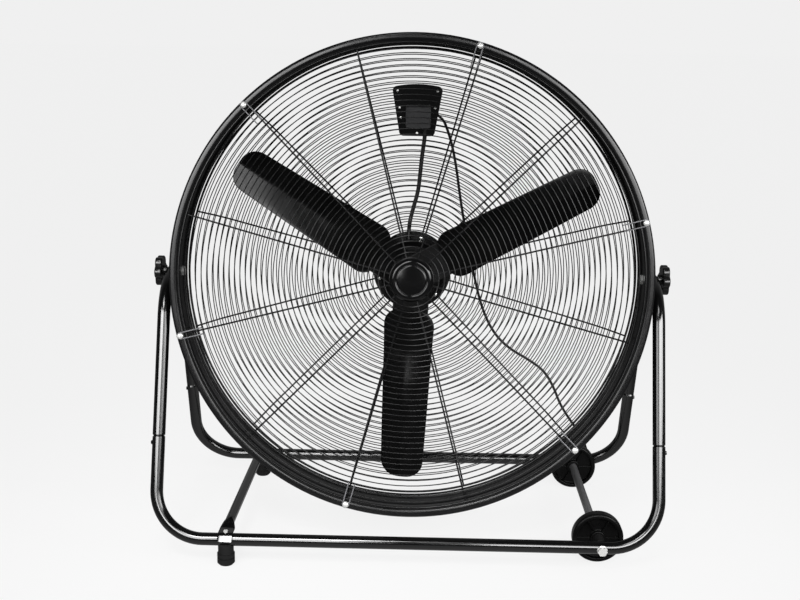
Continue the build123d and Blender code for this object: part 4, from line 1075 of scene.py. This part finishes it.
def studio_world():
    """To the eye, an even pale backdrop. In reflections, pale at the horizon and towards the
    back, and dark overhead. For everything else, a plain even fill."""
    world = bpy.data.worlds.new("studio")
    bpy.context.scene.world = world
    world.use_nodes = True
    tree = world.node_tree
    tree.nodes.clear()
    place = tree.nodes.new("ShaderNodeTexCoord")
    split = tree.nodes.new("ShaderNodeSeparateXYZ")
    tree.links.new(place.outputs["Generated"], split.inputs[0])
    horizon = colour_ramp(tree, split.outputs["Z"], 0.0, (0.15,) * 3, 0.06, (0.02,) * 3)
    rear = map_range(tree, split.outputs["Y"], start=-0.1, end=0.6, low=0.0, high=0.24)
    pale = math_node(tree, "MAXIMUM", horizon, rear)
    seen, mirrored = ray_kinds(tree)
    light = background(tree, 1.0, FILL)
    for chosen, shade in ((mirrored, pale), (seen, None)):
        mixed = tree.nodes.new("ShaderNodeMixShader")
        chosen_light = background(tree, BACKDROP, 1.0)
        if shade:
            tree.links.new(shade, chosen_light.inputs["Color"])
        tree.links.new(chosen, mixed.inputs["Fac"])
        tree.links.new(light.outputs[0], mixed.inputs[1])
        tree.links.new(chosen_light.outputs[0], mixed.inputs[2])
        light = mixed
    out = tree.nodes.new("ShaderNodeOutputWorld")
    tree.links.new(light.outputs[0], out.inputs["Surface"])


def facing(place, target):
    """Turn that points a lamp or camera's -z from place to target."""
    back = unit(np.asarray(place, float) - np.asarray(target, float))
    side = unit(np.cross(UP, back))
    return Matrix(np.column_stack([side, np.cross(back, side), back]).tolist())


def panel(name, place, target, width, height, watts, spread):
    """A rectangular soft lamp that faces its target and fans out by so many degrees."""
    lamp = bpy.data.lights.new(name, "AREA")
    lamp.shape = "RECTANGLE"
    lamp.size = width
    lamp.size_y = height
    lamp.energy = watts
    lamp.spread = radians(spread)
    made = bpy.data.objects.new(name, lamp)
    made.matrix_world = Matrix.Translation(place) @ facing(place, target).to_4x4()
    bpy.context.scene.collection.objects.link(made)


def sky_lamp(name, elevation, bearing, strength, width):
    """A distant lamp, so many degrees up and round from the front, and so many wide."""
    lamp = bpy.data.lights.new(name, "SUN")
    lamp.energy = strength
    lamp.angle = radians(width)
    made = bpy.data.objects.new(name, lamp)
    rise, turn = radians(elevation), radians(bearing)
    place = np.array([sin(turn) * cos(rise), -cos(turn) * cos(rise), sin(rise)])
    made.matrix_world = facing(place, np.zeros(3)).to_4x4()
    bpy.context.scene.collection.objects.link(made)


def camera():
    """The camera at its place, tipped down, turned and rolled a little."""
    pitch, yaw, roll = radians(12.969), radians(-0.7734), radians(0.9527)
    forward = np.array([sin(yaw) * cos(pitch), cos(yaw) * cos(pitch), -sin(pitch)])
    right = np.array([cos(yaw), -sin(yaw), 0])
    above = np.cross(right, forward)
    side = cos(roll) * right + sin(roll) * above
    top = -sin(roll) * right + cos(roll) * above
    eye = bpy.data.cameras.new("camera")
    eye.sensor_width = FILM
    eye.lens = LENS
    eye.clip_start = 0.05
    eye.clip_end = 300
    made = bpy.data.objects.new("camera", eye)
    turn = Matrix(np.column_stack([side, top, -forward]).tolist())
    made.matrix_world = Matrix.Translation(CAMERA_PLACE) @ turn.to_4x4()
    bpy.context.scene.collection.objects.link(made)
    bpy.context.scene.camera = made


floor_sheet()
studio_world()
# An arc of panels ahead of and above each hoop, at these bearings from the front.
ARC_RADIUS, ARC_RISE = 2.2, 0.95
for side, bearings in ((-1, (-35, -18, -1)), (1, (3, 21, 39, 57))):
    aim = np.array([side * HOOP_X, -0.12, 0.30])
    for bearing in bearings:
        turn = radians(bearing)
        place = aim + [ARC_RADIUS * sin(turn), -ARC_RADIUS * cos(turn), ARC_RISE]
        name = f"side_panel_{bearing % 360}"
        panel(name, place, aim, width=0.68, height=1.1, watts=2.9, spread=56)
sky_lamp("high_front", elevation=52, bearing=-11, strength=0.35, width=14)
aim = np.array([-0.20, -RAIL_Y, RAIL_Z])
place = aim + [-0.27, -1.39, 1.81]
panel("rail_panel", place, aim, width=0.7, height=0.56, watts=1.5, spread=40)
camera()
bpy.context.scene.view_settings.view_transform = "Standard"
